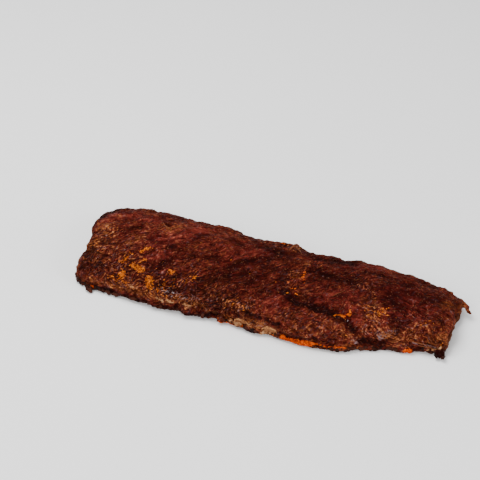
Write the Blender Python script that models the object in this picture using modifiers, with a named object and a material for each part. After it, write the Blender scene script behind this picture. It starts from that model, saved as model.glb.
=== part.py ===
"""A smoked St. Louis style rack of pork ribs, lying bone side down.

The rack is one slab of meat with a dark bark, and a row of flat rib bones that run through it from the
sawn front edge to the sawn back edge. X runs along the rack, Y from the front edge to the back edge and Z
up. Units are metres. The origin is under the middle of the rack, on the surface that it lies on.
"""

import math

import bmesh
import bpy
from mathutils import Vector, noise
from mathutils.bvhtree import BVHTree

# The slab. Every outline is a smooth line through (place, value) points.
LEFT_END = -0.1735
RIGHT_END = 0.1690
FRONT_EDGE = (
    (LEFT_END, -0.0450),
    (-0.162, -0.0515),
    (-0.148, -0.0580),
    (-0.120, -0.0605),
    (-0.088, -0.0640),
    (-0.038, -0.0595),
    (0.010, -0.0645),
    (0.062, -0.0660),
    (0.090, -0.0600),
    (0.116, -0.0480),
    (0.145, -0.0400),
    (RIGHT_END, -0.0380),
)
BACK_EDGE = (
    (LEFT_END, 0.0400),
    (-0.155, 0.0475),
    (-0.128, 0.0520),
    (-0.104, 0.0522),
    (-0.062, 0.0500),
    (-0.030, 0.0440),
    (0.002, 0.0455),
    (0.040, 0.0388),
    (0.076, 0.0435),
    (0.112, 0.0372),
    (0.143, 0.0350),
    (0.157, 0.0315),
    (RIGHT_END, 0.0265),
)
# How far each end's outline stands in from its end of the rack, across the rack.
LEFT_INSET = ((-1.0, 0.0125), (-0.70, 0.0098), (-0.28, 0.0108), (0.15, 0.0025), (0.65, 0.0000), (1.0, 0.0030))
RIGHT_INSET = ((-1.0, 0.0038), (-0.45, 0.0008), (0.0, 0.0000), (1.0, 0.0010))
# The height of the top along the front edge, which falls away towards both ends.
FRONT_HEIGHT = (
    (LEFT_END, 0.0115),
    (-0.135, 0.0130),
    (-0.090, 0.0150),
    (-0.050, 0.0180),
    (-0.010, 0.0190),
    (0.050, 0.0190),
    (0.080, 0.0155),
    (0.110, 0.0130),
    (RIGHT_END, 0.0115),
)
# The height across the rest of the rack, where -1 is the front edge and 1 the back edge.
CROWN = ((-0.62, 0.0245), (-0.1, 0.0280), (0.45, 0.0248), (1.0, 0.0145))
FULLNESS = (
    (LEFT_END, 0.74),
    (-0.135, 0.98),
    (-0.050, 1.00),
    (0.060, 1.03),
    (0.120, 0.96),
    (RIGHT_END, 0.72),
)
ARCH_HEIGHT = 0.0050
CAGE_CUTS = (17, 6, 1)
EDGE_CROWDING = 0.62
CAGE_LEVELS = 3
FOOT_CREASE = 0.5
SLAB_TRIANGLES = 8000

# The rib bones, numbered from the left end.
BONE_COUNT = 13
BONE_PITCH = 0.0253
FIRST_BONE_X = -0.1555
BONE_WIDTH = 0.0128
BONE_THICKNESS = 0.0070
BONE_FLARE = 0.14
BONE_COVER = 0.0019
BONE_GAP = 0.0003
BONE_SIDES = 10
BONE_CUTS = 5
BARE_BONES = (3, 4, 6, 7, 12)
BARE_PROUD = 0.0005
CRUSTED_PROUD = -0.0008
BONE_TILT = 0.035
TUNNEL_OVERRUN = 0.006

# The rack touches the table at three places on its foot, and the rest of the foot stands a little clear.
RESTS = ((-0.140, -0.0585), (0.125, -0.0445), (-0.015, 0.0447))
REST_REACH = 0.024
FOOT_CLEARANCE = 0.0009
FOOT_BAND = 0.0060

# The relief of the meat.
UNDERSIDE_VALLEY = 0.0024
RIB_SWELL = 0.0002
LUMPS = ((0.052, 0.0016), (0.019, 0.0010), (0.0085, 0.0006))
SIDE_CRAG_SIZE = 0.0090
SIDE_CRAG_DEPTH = 0.0019
# The side's relief fades out below this height, so that the foot of the rack stays one clean edge.
FOOT_FADE_HEIGHT = 0.0045
SEAM_DIRECTION = Vector((0.454, 0.891, 0.0))
SEAM_STRETCH = 3.2
SEAM_SPACING = 0.0105
SEAM_DEPTH = 0.0014

# Long grooves where two muscles part: a path over the rack, a half width and a depth.
GROOVES = (
    (((0.018, -0.020), (0.032, -0.037), (0.056, -0.041), (0.078, -0.042), (0.101, -0.058)), 0.0046, 0.0034),
    (((-0.062, -0.050), (-0.036, -0.020), (0.000, 0.004)), 0.0060, 0.0013),
    (((0.040, 0.004), (0.078, 0.002), (0.106, 0.014)), 0.0055, 0.0018),
    (((-0.094, -0.010), (-0.074, 0.020), (-0.052, 0.036)), 0.0060, 0.0012),
)
# Dents and humps: a place over the rack, a radius and a depth, which is negative for a hump.
DENTS = (
    ((-0.030, 0.044), 0.0100, 0.0022),
    ((0.014, 0.046), 0.0060, -0.0022),
    ((0.050, 0.042), 0.0045, -0.0016),
    ((-0.156, -0.040), 0.0180, -0.0030),
    ((0.118, -0.034), 0.0160, -0.0016),
    ((0.172, -0.010), 0.0080, 0.0020),
)
# A ledge of crust over the bone ends on the front edge: from X to X, its height and how deep it undercuts.
FRONT_LEDGE = (0.000, 0.060, 0.0125, 0.0012)

# Loose shreds fused to the rack: points of a path with the radius of each.
SHREDS = (
    ("right_strand", ((0.1620, 0.0190, 0.0085, 0.0024), (0.1690, 0.0205, 0.0090, 0.0021),
                      (0.1735, 0.0175, 0.0086, 0.0018), (0.1745, 0.0145, 0.0074, 0.0016),
                      (0.1780, 0.0138, 0.0056, 0.0008))),
    ("right_front_flap", ((0.1595, -0.0300, 0.0056, 0.0048), (0.1615, -0.0370, 0.0048, 0.0038),
                          (0.1625, -0.0415, 0.0036, 0.0025), (0.1610, -0.0445, 0.0024, 0.0011))),
    ("left_front_flap", ((-0.1560, -0.0480, 0.0055, 0.0052), (-0.1515, -0.0555, 0.0044, 0.0042),
                         (-0.1465, -0.0608, 0.0030, 0.0026), (-0.1432, -0.0638, 0.0016, 0.0011))),
    ("back_tag", ((0.0070, 0.0380, 0.0120, 0.0040), (0.0115, 0.0425, 0.0130, 0.0028),
                  (0.0160, 0.0445, 0.0120, 0.0014))),
)
SHRED_FLOOR = 0.0010
# The soft fat that has run out along the foot of the front edge, as a bead of uneven radius.
FAT_STRIP_START = 0.032
FAT_STRIP_END = 0.092
FAT_STRIP_RADIUS = 0.0030
FAT_STRIP_STEPS = 18
FAT_STRIP_UNEVEN = 0.30
SHRED_SIDES_LEVEL = 1


def clear_scene():
    """Removes what the scene holds at the start."""
    for obj in list(bpy.data.objects):
        bpy.data.objects.remove(obj)


def finish(name, colour, roughness):
    """A plain material of that colour and roughness."""
    made = bpy.data.materials.new(name)
    made.use_nodes = True
    shader = made.node_tree.nodes["Principled BSDF"]
    shader.inputs["Base Color"].default_value = (*colour, 1.0)
    shader.inputs["Roughness"].default_value = roughness
    shader.inputs["Metallic"].default_value = 0.0
    return made


def along(points, place):
    """The value at a place on the smooth line through (place, value) points."""
    last = len(points) - 1
    if place <= points[0][0]:
        return points[0][1]
    if place >= points[last][0]:
        return points[last][1]
    i = next(k for k in range(last) if place <= points[k + 1][0])

    def slope(k):
        before, after = points[max(k - 1, 0)], points[min(k + 1, last)]
        return (after[1] - before[1]) / (after[0] - before[0])

    (x0, y0), (x1, y1) = points[i], points[i + 1]
    span = x1 - x0
    s = (place - x0) / span
    rise = s * s * (3 - 2 * s)
    lift = slope(i) * (s - 2 * s * s + s**3) + slope(i + 1) * (s**3 - s * s)
    return y0 + (y1 - y0) * rise + lift * span


def arch(across):
    """Height of the slab's underside over the table, at a share of the way across."""
    return ARCH_HEIGHT * (1 - across * across)


def across_at(x, y):
    """How far across the rack a point lies: -1 at the front edge and 1 at the back edge."""
    front, back = along(FRONT_EDGE, x), along(BACK_EDGE, x)
    return (2 * y - front - back) / (back - front)


def bone_x(index, across=0.0):
    """The X of a bone's centreline. The bones fan out a little towards the ends of the rack."""
    middle = FIRST_BONE_X + index * BONE_PITCH
    return middle + across * BONE_TILT * middle * 0.5


def object_from(name, bm, collection):
    """A mesh object in the collection, from a bmesh that is then freed."""
    mesh = bpy.data.meshes.new(name)
    bm.to_mesh(mesh)
    bm.free()
    obj = bpy.data.objects.new(name, mesh)
    collection.objects.link(obj)
    return obj


def applied(obj):
    """Bakes an object's modifiers into its mesh."""
    graph = bpy.context.evaluated_depsgraph_get()
    mesh = bpy.data.meshes.new_from_object(obj.evaluated_get(graph))
    obj.modifiers.clear()
    obj.data = mesh
    return obj


def sliced_cube(cuts):
    """A cube from -1 to 1 whose edges along each axis have that many cuts."""
    bm = bmesh.new()
    bmesh.ops.create_cube(bm, size=2.0)
    for axis, count in enumerate(cuts):
        whole = [e for e in bm.edges if abs(e.verts[0].co[axis] - e.verts[1].co[axis]) > 1.9]
        bmesh.ops.subdivide_edges(bm, edges=whole, cuts=count, use_grid_fill=True)
    return bm


def top_height(x, across):
    """The height of the slab's top, before its relief."""
    full = along(FULLNESS, x)
    inner = tuple((place, height * full) for place, height in CROWN)
    return along(((-1.0, along(FRONT_HEIGHT, x)), *inner), across)


def cage_point(corner):
    """Where a point of the sliced cube goes on the slab's cage."""
    u, v, w = corner
    across = math.copysign(abs(v) ** EDGE_CROWDING, v)
    x = LEFT_END + (u + 1) / 2 * (RIGHT_END - LEFT_END)
    inset = -along(RIGHT_INSET, across) if u > 0 else along(LEFT_INSET, across)
    x += abs(u) ** 5 * inset
    front, back = along(FRONT_EDGE, x), along(BACK_EDGE, x)
    y = front + (across + 1) / 2 * (back - front)
    bottom = arch(across)
    return Vector((x, y, bottom + (w + 1) / 2 * (top_height(x, across) - bottom)))


def near_path(path, x, y):
    """The distance from a point to a path over the rack, and how far along the path it is, from 0 to 1."""
    point, best = Vector((x, y)), (1.0, 0.0)
    for i, (start, end) in enumerate(zip(path, path[1:])):
        a, b = Vector(start), Vector(end)
        share = max(0.0, min(1.0, (point - a).dot(b - a) / (b - a).length_squared))
        best = min(best, ((point - a.lerp(b, share)).length, (i + share) / (len(path) - 1)))
    return best


def bell(distance, width):
    """1 at no distance, and nearly 0 past twice the width."""
    return math.exp(-((distance / width) ** 2))


def clamp(value):
    """The value kept from 0 to 1."""
    return max(0.0, min(1.0, value))


def relief(point, normal):
    """How far a point of the smooth slab moves along its normal."""
    x, y, z = point
    across = across_at(x, y)
    facing_up = clamp(normal.z * 1.6)
    facing_side = 1 - clamp(abs(normal.z) * 1.25)
    facing_down = clamp(-normal.z * 2.5 - 1.0)
    moved = 0.0
    for size, height in LUMPS:
        moved += height * noise.noise(point / size)
    seam = Vector((point.dot(SEAM_DIRECTION) / SEAM_STRETCH, point.cross(SEAM_DIRECTION).z, 0.0))
    moved += SEAM_DEPTH * facing_up * noise.noise(seam / SEAM_SPACING)
    phase = 2 * math.pi * (x - FIRST_BONE_X) / BONE_PITCH
    inner = clamp(1 - abs(across) ** 6)
    moved -= UNDERSIDE_VALLEY * facing_down * inner * (0.5 - 0.5 * math.cos(phase))
    moved += RIB_SWELL * facing_up * math.cos(phase)
    for path, width, depth in GROOVES:
        distance, share = near_path(path, x, y)
        moved -= depth * facing_up * bell(distance, width) * math.sin(math.pi * (0.1 + 0.8 * share))
    for (dent_x, dent_y), radius, depth in DENTS:
        moved -= depth * (1 - facing_down) * bell(math.hypot(x - dent_x, y - dent_y), radius)
    crag = noise.noise(point / SIDE_CRAG_SIZE) + 0.5 * noise.noise(point * 2.3 / SIDE_CRAG_SIZE)
    above_foot = clamp(z / FOOT_FADE_HEIGHT)
    moved += SIDE_CRAG_DEPTH * facing_side * above_foot * crag
    start, end, height, undercut = FRONT_LEDGE
    if start < x < end and across < -0.7:
        below = clamp((height - z) / 0.004)
        moved -= undercut * facing_side * below * math.sin(math.pi * (x - start) / (end - start))
    return moved


def settled_height(x, y, z):
    """The height of a point once the foot is down on the table at the resting places and clear elsewhere."""
    away = min(math.hypot(x - rest_x, y - rest_y) for rest_x, rest_y in RESTS)
    held = bell(away, REST_REACH)
    near_foot = clamp(1 - z / FOOT_BAND)
    return z * (1 - held * near_foot) + FOOT_CLEARANCE * (1 - held) * near_foot


def smooth_slab(collection):
    """The slab of meat as a soft closed form with its relief, before anything is joined or cut."""
    bm = sliced_cube(CAGE_CUTS)
    crease = bm.edges.layers.float.new("crease_edge")
    for edge in bm.edges:
        foot = all(vert.co.z < -0.99 and max(abs(vert.co.x), abs(vert.co.y)) > 0.99 for vert in edge.verts)
        edge[crease] = FOOT_CREASE if foot else 0.0
    for vert in bm.verts:
        vert.co = cage_point(vert.co)
    slab = object_from("rack_meat", bm, collection)
    soften = slab.modifiers.new("soften", "SUBSURF")
    soften.levels = soften.render_levels = CAGE_LEVELS
    applied(slab)
    shaped = bmesh.new()
    shaped.from_mesh(slab.data)
    shaped.normal_update()
    moves = [vert.normal * relief(vert.co, vert.normal) for vert in shaped.verts]
    for vert, move in zip(shaped.verts, moves):
        vert.co += move
        vert.co.z = settled_height(vert.co.x, vert.co.y, max(vert.co.z, 0.0))
    bmesh.ops.triangulate(shaped, faces=shaped.faces)
    count = len(shaped.faces)
    shaped.to_mesh(slab.data)
    shaped.free()
    thin_out = slab.modifiers.new("thin_out", "DECIMATE")
    thin_out.ratio = SLAB_TRIANGLES / count
    return applied(slab)


def shred(name, points, collection):
    """A tapered strand of meat along a path, as a closed mesh."""
    data = bpy.data.curves.new(name, "CURVE")
    data.dimensions = "3D"
    data.bevel_depth = 1.0
    data.bevel_resolution = SHRED_SIDES_LEVEL
    data.use_fill_caps = True
    line = data.splines.new("POLY")
    line.points.add(len(points) - 1)
    for place, (x, y, z, radius) in zip(line.points, points):
        place.co = (x, y, z, 1.0)
        place.radius = radius
    curve = bpy.data.objects.new(name, data)
    collection.objects.link(curve)
    graph = bpy.context.evaluated_depsgraph_get()
    bm = bmesh.new()
    bm.from_mesh(bpy.data.meshes.new_from_object(curve.evaluated_get(graph)))
    bmesh.ops.remove_doubles(bm, verts=bm.verts, dist=0.00005)
    bmesh.ops.recalc_face_normals(bm, faces=bm.faces)
    for vert in bm.verts:
        vert.co.z = max(vert.co.z, SHRED_FLOOR)
    bpy.data.objects.remove(curve)
    return object_from(name, bm, collection)


def surface_y(tree, x, height, direction):
    """The Y where a level ray along +Y (direction 1) or -Y (direction -1) first meets the meat."""
    hit = tree.ray_cast(Vector((x, -direction * 0.2, height)), Vector((0, direction, 0)))[0]
    if hit is None:
        raise ValueError(f"no meat at x {x:.4f} and height {height:.4f}")
    return hit.y


def fat_strip_points(tree):
    """A path along the foot of the front edge with an uneven radius, for the bead of fat."""
    points = []
    for step in range(FAT_STRIP_STEPS + 1):
        share = step / FAT_STRIP_STEPS
        x = FAT_STRIP_START + share * (FAT_STRIP_END - FAT_STRIP_START)
        taper = math.sqrt(math.sin(math.pi * (0.10 + 0.80 * share)))
        uneven = 1 + FAT_STRIP_UNEVEN * noise.noise(Vector((x * 190, 0.0, 0.0)))
        radius = FAT_STRIP_RADIUS * taper * uneven
        y = surface_y(tree, x, FAT_STRIP_RADIUS, 1)
        points.append((x, y + radius * 0.15, radius * 0.8, radius))
    return points


def bone_bar(name, index, ends, grow, overrun, collection):
    """A flat rib between its two ends, as a closed oval bar that follows the arch.

    A cutter for its tunnel is the same bar, thicker by grow all round and longer by overrun at each end.
    """
    (front_y, front_slant), (back_y, back_slant) = ends
    bm = bmesh.new()
    bmesh.ops.create_cone(bm, cap_ends=True, segments=BONE_SIDES, radius1=1.0, radius2=1.0, depth=2.0)
    whole = [e for e in bm.edges if abs(e.verts[0].co.z - e.verts[1].co.z) > 1.9]
    bmesh.ops.subdivide_edges(bm, edges=whole, cuts=BONE_CUTS)
    middle_x = bone_x(index)
    for vert in bm.verts:
        side, height, run = vert.co
        offset = -side * BONE_WIDTH / 2
        near, far = front_y + front_slant * offset, back_y + back_slant * offset
        y = near + (run + 1) / 2 * (far - near)
        across = max(-1.0, min(1.0, across_at(middle_x, y)))
        swell = 1 + BONE_FLARE * across * across * (0.4 if across > 0 else 1.0)
        x = bone_x(index, across) - side * (BONE_WIDTH / 2 * swell + grow)
        centre = arch(across) + BONE_COVER + BONE_THICKNESS / 2
        vert.co = (x, y, centre + height * (BONE_THICKNESS / 2 + grow))
    if overrun:
        caps = [face for face in bm.faces if len(face.verts) == BONE_SIDES]
        for face in bmesh.ops.extrude_discrete_faces(bm, faces=caps)["faces"]:
            outwards = math.copysign(overrun, face.calc_center_median().y - (front_y + back_y) / 2)
            bmesh.ops.translate(bm, verts=face.verts, vec=(0, outwards, 0))
    return object_from(name, bm, collection)


def bone_ends(tree, index):
    """A bone's two ends, each as its Y and its slant, so that it is cut off along the meat's edge.

    A bare end stands a little proud of the meat, and a crusted one lies in it.
    """
    proud = BARE_PROUD if index in BARE_BONES else CRUSTED_PROUD
    height = BONE_COVER + BONE_THICKNESS / 2
    ends = []
    for across, direction in ((-1.0, 1), (1.0, -1)):
        middle = bone_x(index, across)
        left = surface_y(tree, middle - BONE_WIDTH / 2, height, direction)
        right = surface_y(tree, middle + BONE_WIDTH / 2, height, direction)
        ends.append(((left + right) / 2 - direction * proud, (right - left) / BONE_WIDTH))
    return ends


def boolean(target, operation, others):
    """Joins a collection's objects to the target, or cuts them from it, and applies the result."""
    step = target.modifiers.new(operation.lower(), "BOOLEAN")
    step.operation = operation
    step.operand_type = "COLLECTION"
    step.collection = others
    step.solver = "EXACT"
    return applied(target)


def centre_on_origin(objects):
    """Moves the meshes so that the rack's box stands centred on the origin."""
    corners = [vert.co for obj in objects for vert in obj.data.vertices]
    low = Vector(min(co[axis] for co in corners) for axis in range(3))
    high = Vector(max(co[axis] for co in corners) for axis in range(3))
    shift = -Vector(((low.x + high.x) / 2, (low.y + high.y) / 2, low.z))
    for obj in objects:
        for vert in obj.data.vertices:
            vert.co += shift


def main():
    """Builds the meat and its bones."""
    clear_scene()
    rack = bpy.data.collections.new("smoked_pork_ribs")
    joined = bpy.data.collections.new("joined")
    cutters = bpy.data.collections.new("cutters")
    for collection in (rack, joined, cutters):
        bpy.context.scene.collection.children.link(collection)
    bark = finish("bark", (0.105, 0.022, 0.009), 0.42)
    bone = finish("bone", (0.50, 0.33, 0.20), 0.55)

    meat = smooth_slab(rack)
    tree = BVHTree.FromPolygons([v.co for v in meat.data.vertices], [p.vertices for p in meat.data.polygons])
    bones = []
    for index in range(BONE_COUNT):
        name = f"rib_bone_{index + 1:02d}"
        ends = bone_ends(tree, index)
        bones.append(bone_bar(name, index, ends, 0.0, 0.0, rack))
        bone_bar("tunnel_" + name, index, ends, BONE_GAP, TUNNEL_OVERRUN, cutters)

    for name, points in (*SHREDS, ("fat_strip", fat_strip_points(tree))):
        shred(name, points, joined)
    boolean(meat, "UNION", joined)
    boolean(meat, "DIFFERENCE", cutters)
    for obj in [*joined.objects, *cutters.objects]:
        bpy.data.objects.remove(obj)

    centre_on_origin([meat, *bones])
    meat.data.materials.clear()
    meat.data.materials.append(bark)
    for obj in bones:
        obj.data.materials.append(bone)
        obj.data.shade_smooth()
    meat.data.shade_smooth()


main()
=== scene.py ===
"""The smoked rack of pork ribs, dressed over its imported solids.

The slab gets a dense copy of its solid, with a cracked bark, fibres, rendered fat and a smooth bone side.
Each rib bone gets worn sawn ends. Flakes of bark, beads of fat and loose fibres lie on the slab.
Units are metres.
"""

import logging
import math
import random
from collections.abc import Iterable
from dataclasses import dataclass
from enum import Enum

import bmesh
import bpy
import numpy as np
from mathutils import Matrix, Vector, noise
from mathutils.bvhtree import BVHTree


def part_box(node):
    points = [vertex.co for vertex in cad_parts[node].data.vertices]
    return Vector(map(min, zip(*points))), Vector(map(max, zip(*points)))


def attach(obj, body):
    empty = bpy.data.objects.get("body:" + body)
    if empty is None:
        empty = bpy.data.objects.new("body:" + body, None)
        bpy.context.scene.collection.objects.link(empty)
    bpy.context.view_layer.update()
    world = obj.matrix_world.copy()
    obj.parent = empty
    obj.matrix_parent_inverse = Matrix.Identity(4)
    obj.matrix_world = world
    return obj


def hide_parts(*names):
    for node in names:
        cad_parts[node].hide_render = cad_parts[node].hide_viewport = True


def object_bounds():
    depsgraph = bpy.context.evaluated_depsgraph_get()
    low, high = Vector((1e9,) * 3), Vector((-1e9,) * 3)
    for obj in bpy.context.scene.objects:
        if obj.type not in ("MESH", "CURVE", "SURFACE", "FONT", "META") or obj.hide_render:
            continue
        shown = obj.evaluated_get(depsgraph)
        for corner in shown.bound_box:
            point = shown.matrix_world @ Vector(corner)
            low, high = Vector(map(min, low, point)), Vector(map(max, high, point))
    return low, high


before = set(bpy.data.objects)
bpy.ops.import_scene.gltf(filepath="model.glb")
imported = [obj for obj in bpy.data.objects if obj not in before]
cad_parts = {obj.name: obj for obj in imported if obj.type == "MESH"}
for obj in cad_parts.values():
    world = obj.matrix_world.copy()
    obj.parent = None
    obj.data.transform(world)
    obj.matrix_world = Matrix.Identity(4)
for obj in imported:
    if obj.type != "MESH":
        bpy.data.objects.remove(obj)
CAD_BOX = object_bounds()
LOG = logging.getLogger("ribs")
MEAT_NODE = "rack_meat"
BONE_NODES = tuple(sorted(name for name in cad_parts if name.startswith("rib_bone_")))
BODY = "root"

# Corners that are closer than this are one.
WELD = 0.000002

# The direction of the lengthwise fibres in the middle of the rack, in degrees, and its change per metre.
LONG_GRAIN_TURN = -2.0
LONG_GRAIN_BEND = 33.0

Triple = tuple[float, float, float]
Colour = Triple
Scale = tuple[tuple[float, Colour], ...]
Span = tuple[float, float]
Pixel = tuple[float, float]


class Mask(Enum):
    """What a part of the slab's surface is like, each a vertex attribute that is 0 where it is not so."""

    FAT = "fat"
    # Dark char of the bark, and painted shade in grooves, creases, hollows, under lips, along the foot, on
    # the front side and on slopes that face back.
    CHAR_AND_SHADE = "char"
    RED = "red"
    TAN = "tan"
    SHINE = "shine"
    LONG_GRAIN = "long_grain"
    SIDE = "side"
    UNDER = "under"
    ORANGE = "orange"
    PALE = "pale"
    CRUMBLY = "crumbly"
    WORN = "worn"
    RISE = "rise"


# The camera


@dataclass(frozen=True)
class PhotoView:
    """The photograph's camera, and the way from a place in the picture to a place on the rack."""

    azimuth: float = 19.6
    elevation: float = 38.0
    distance: float = 1.2
    pixels_per_metre: float = 1130.0
    picture_width: int = 480
    aim_pixel: Pixel = (268.0, 285.0)
    aim: tuple[float, float] = (-0.0030, 0.00675)
    sensor: float = 36.0
    clip: Span = (0.05, 50.0)
    foot_height: float = 0.003
    foot_reach: float = 0.006

    @property
    def focal_pixels(self) -> float:
        """The focal length in pixels of the picture."""
        return self.pixels_per_metre * self.distance

    def axes(self) -> tuple[Vector, Vector, Vector]:
        """The camera's axes in the rack's frame.

        Returns:
            Its right, its up and the direction from the rack back to it.
        """
        turn, rise = math.radians(self.azimuth), math.radians(self.elevation)
        back = Vector((math.sin(turn) * math.cos(rise), -math.cos(turn) * math.cos(rise), math.sin(rise)))
        right = Vector((math.cos(turn), math.sin(turn), 0.0))
        return right, back.cross(right), back

    def ray(self, pixel: Pixel) -> Vector:
        """The direction in which a pixel looks.

        Args:
            pixel: Its column and row in the picture.

        Returns:
            A direction whose length is 1 along the view's axis.
        """
        right, up, back = self.axes()
        half = self.picture_width / 2
        across, above = (pixel[0] - half) / self.focal_pixels, (half - pixel[1]) / self.focal_pixels
        return across * right + above * up - back

    def place(self) -> Vector:
        """Where the camera stands."""
        return Vector((*self.aim, 0.0)) - self.ray(self.aim_pixel) * self.distance

    def on(self, tree: BVHTree, pixel: Pixel) -> Vector | None:
        """The place on a surface that a pixel shows, or the nearest one where it looks just past the foot.

        Args:
            tree: The surface.
            pixel: Its column and row in the picture.

        Returns:
            The place, or None where the pixel shows nothing near the surface.
        """
        start, ray = self.place(), self.ray(pixel).normalized()
        found = tree.ray_cast(start, ray)[0]
        if found is None:
            past = start + ray * ((self.foot_height - start.z) / ray.z)
            found = tree.find_nearest(past, self.foot_reach)[0]
        return found

    def path_on(self, tree: BVHTree, pixels: tuple[Pixel, ...], name: str) -> list[Vector]:
        """The places that a path of pixels shows, with a warning for each that shows none.

        Args:
            tree: The surface.
            pixels: The path.
            name: What the path is called in a warning.

        Returns:
            The places.
        """
        found = []
        for pixel in pixels:
            place = self.on(tree, pixel)
            if place is None:
                LOG.warning("%s: pixel %s shows no meat", name, pixel)
            else:
                found.append(place)
        return found

    def build(self) -> bpy.types.Object:
        """Makes the scene's camera.

        Returns:
            The camera.
        """
        right, up, back = self.axes()
        data = bpy.data.cameras.new("photo_camera")
        data.sensor_width = self.sensor
        data.lens = self.focal_pixels / self.picture_width * self.sensor
        data.clip_start, data.clip_end = self.clip
        camera = bpy.data.objects.new("photo_camera", data)
        turned = Matrix((right, up, back)).transposed()
        camera.matrix_world = Matrix.Translation(self.place()) @ turned.to_4x4()
        bpy.context.scene.collection.objects.link(camera)
        bpy.context.scene.camera = camera
        return camera


# Shader expressions


class Signal:
    """One output of a shader tree, with arithmetic that adds the nodes it needs."""

    def __init__(self, graph: "Graph", socket: bpy.types.NodeSocket) -> None:
        """Wraps a socket of a graph."""
        self.graph = graph
        self.socket = socket

    def _math(self, operation: str, *values: "Signal | float") -> "Signal":
        """A Math node on those values."""
        return self.graph.out("ShaderNodeMath", {"operation": operation}, dict(enumerate(values)))

    def __add__(self, other: "Signal | float") -> "Signal":
        """The sum."""
        return self._math("ADD", self, other)

    def __mul__(self, other: "Signal | float") -> "Signal":
        """The product."""
        return self._math("MULTIPLY", self, other)

    __rmul__ = __mul__

    def __sub__(self, other: "Signal | float") -> "Signal":
        """The difference."""
        return self._math("SUBTRACT", self, other)

    def __rsub__(self, other: float) -> "Signal":
        """The difference from a number."""
        return self._math("SUBTRACT", other, self)

    def step(self, low: float, high: float) -> "Signal":
        """A smooth step from 0 to 1.

        Args:
            low: The value that gives 0.
            high: The value that gives 1.

        Returns:
            The step.
        """
        settings = {"interpolation_type": "SMOOTHSTEP"}
        inputs = {"Value": self, "From Min": low, "From Max": high}
        return self.graph.out("ShaderNodeMapRange", settings, inputs)

    def clamp(self) -> "Signal":
        """The value kept from 0 to 1."""
        return self.graph.out("ShaderNodeClamp", {}, {"Value": self})


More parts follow.
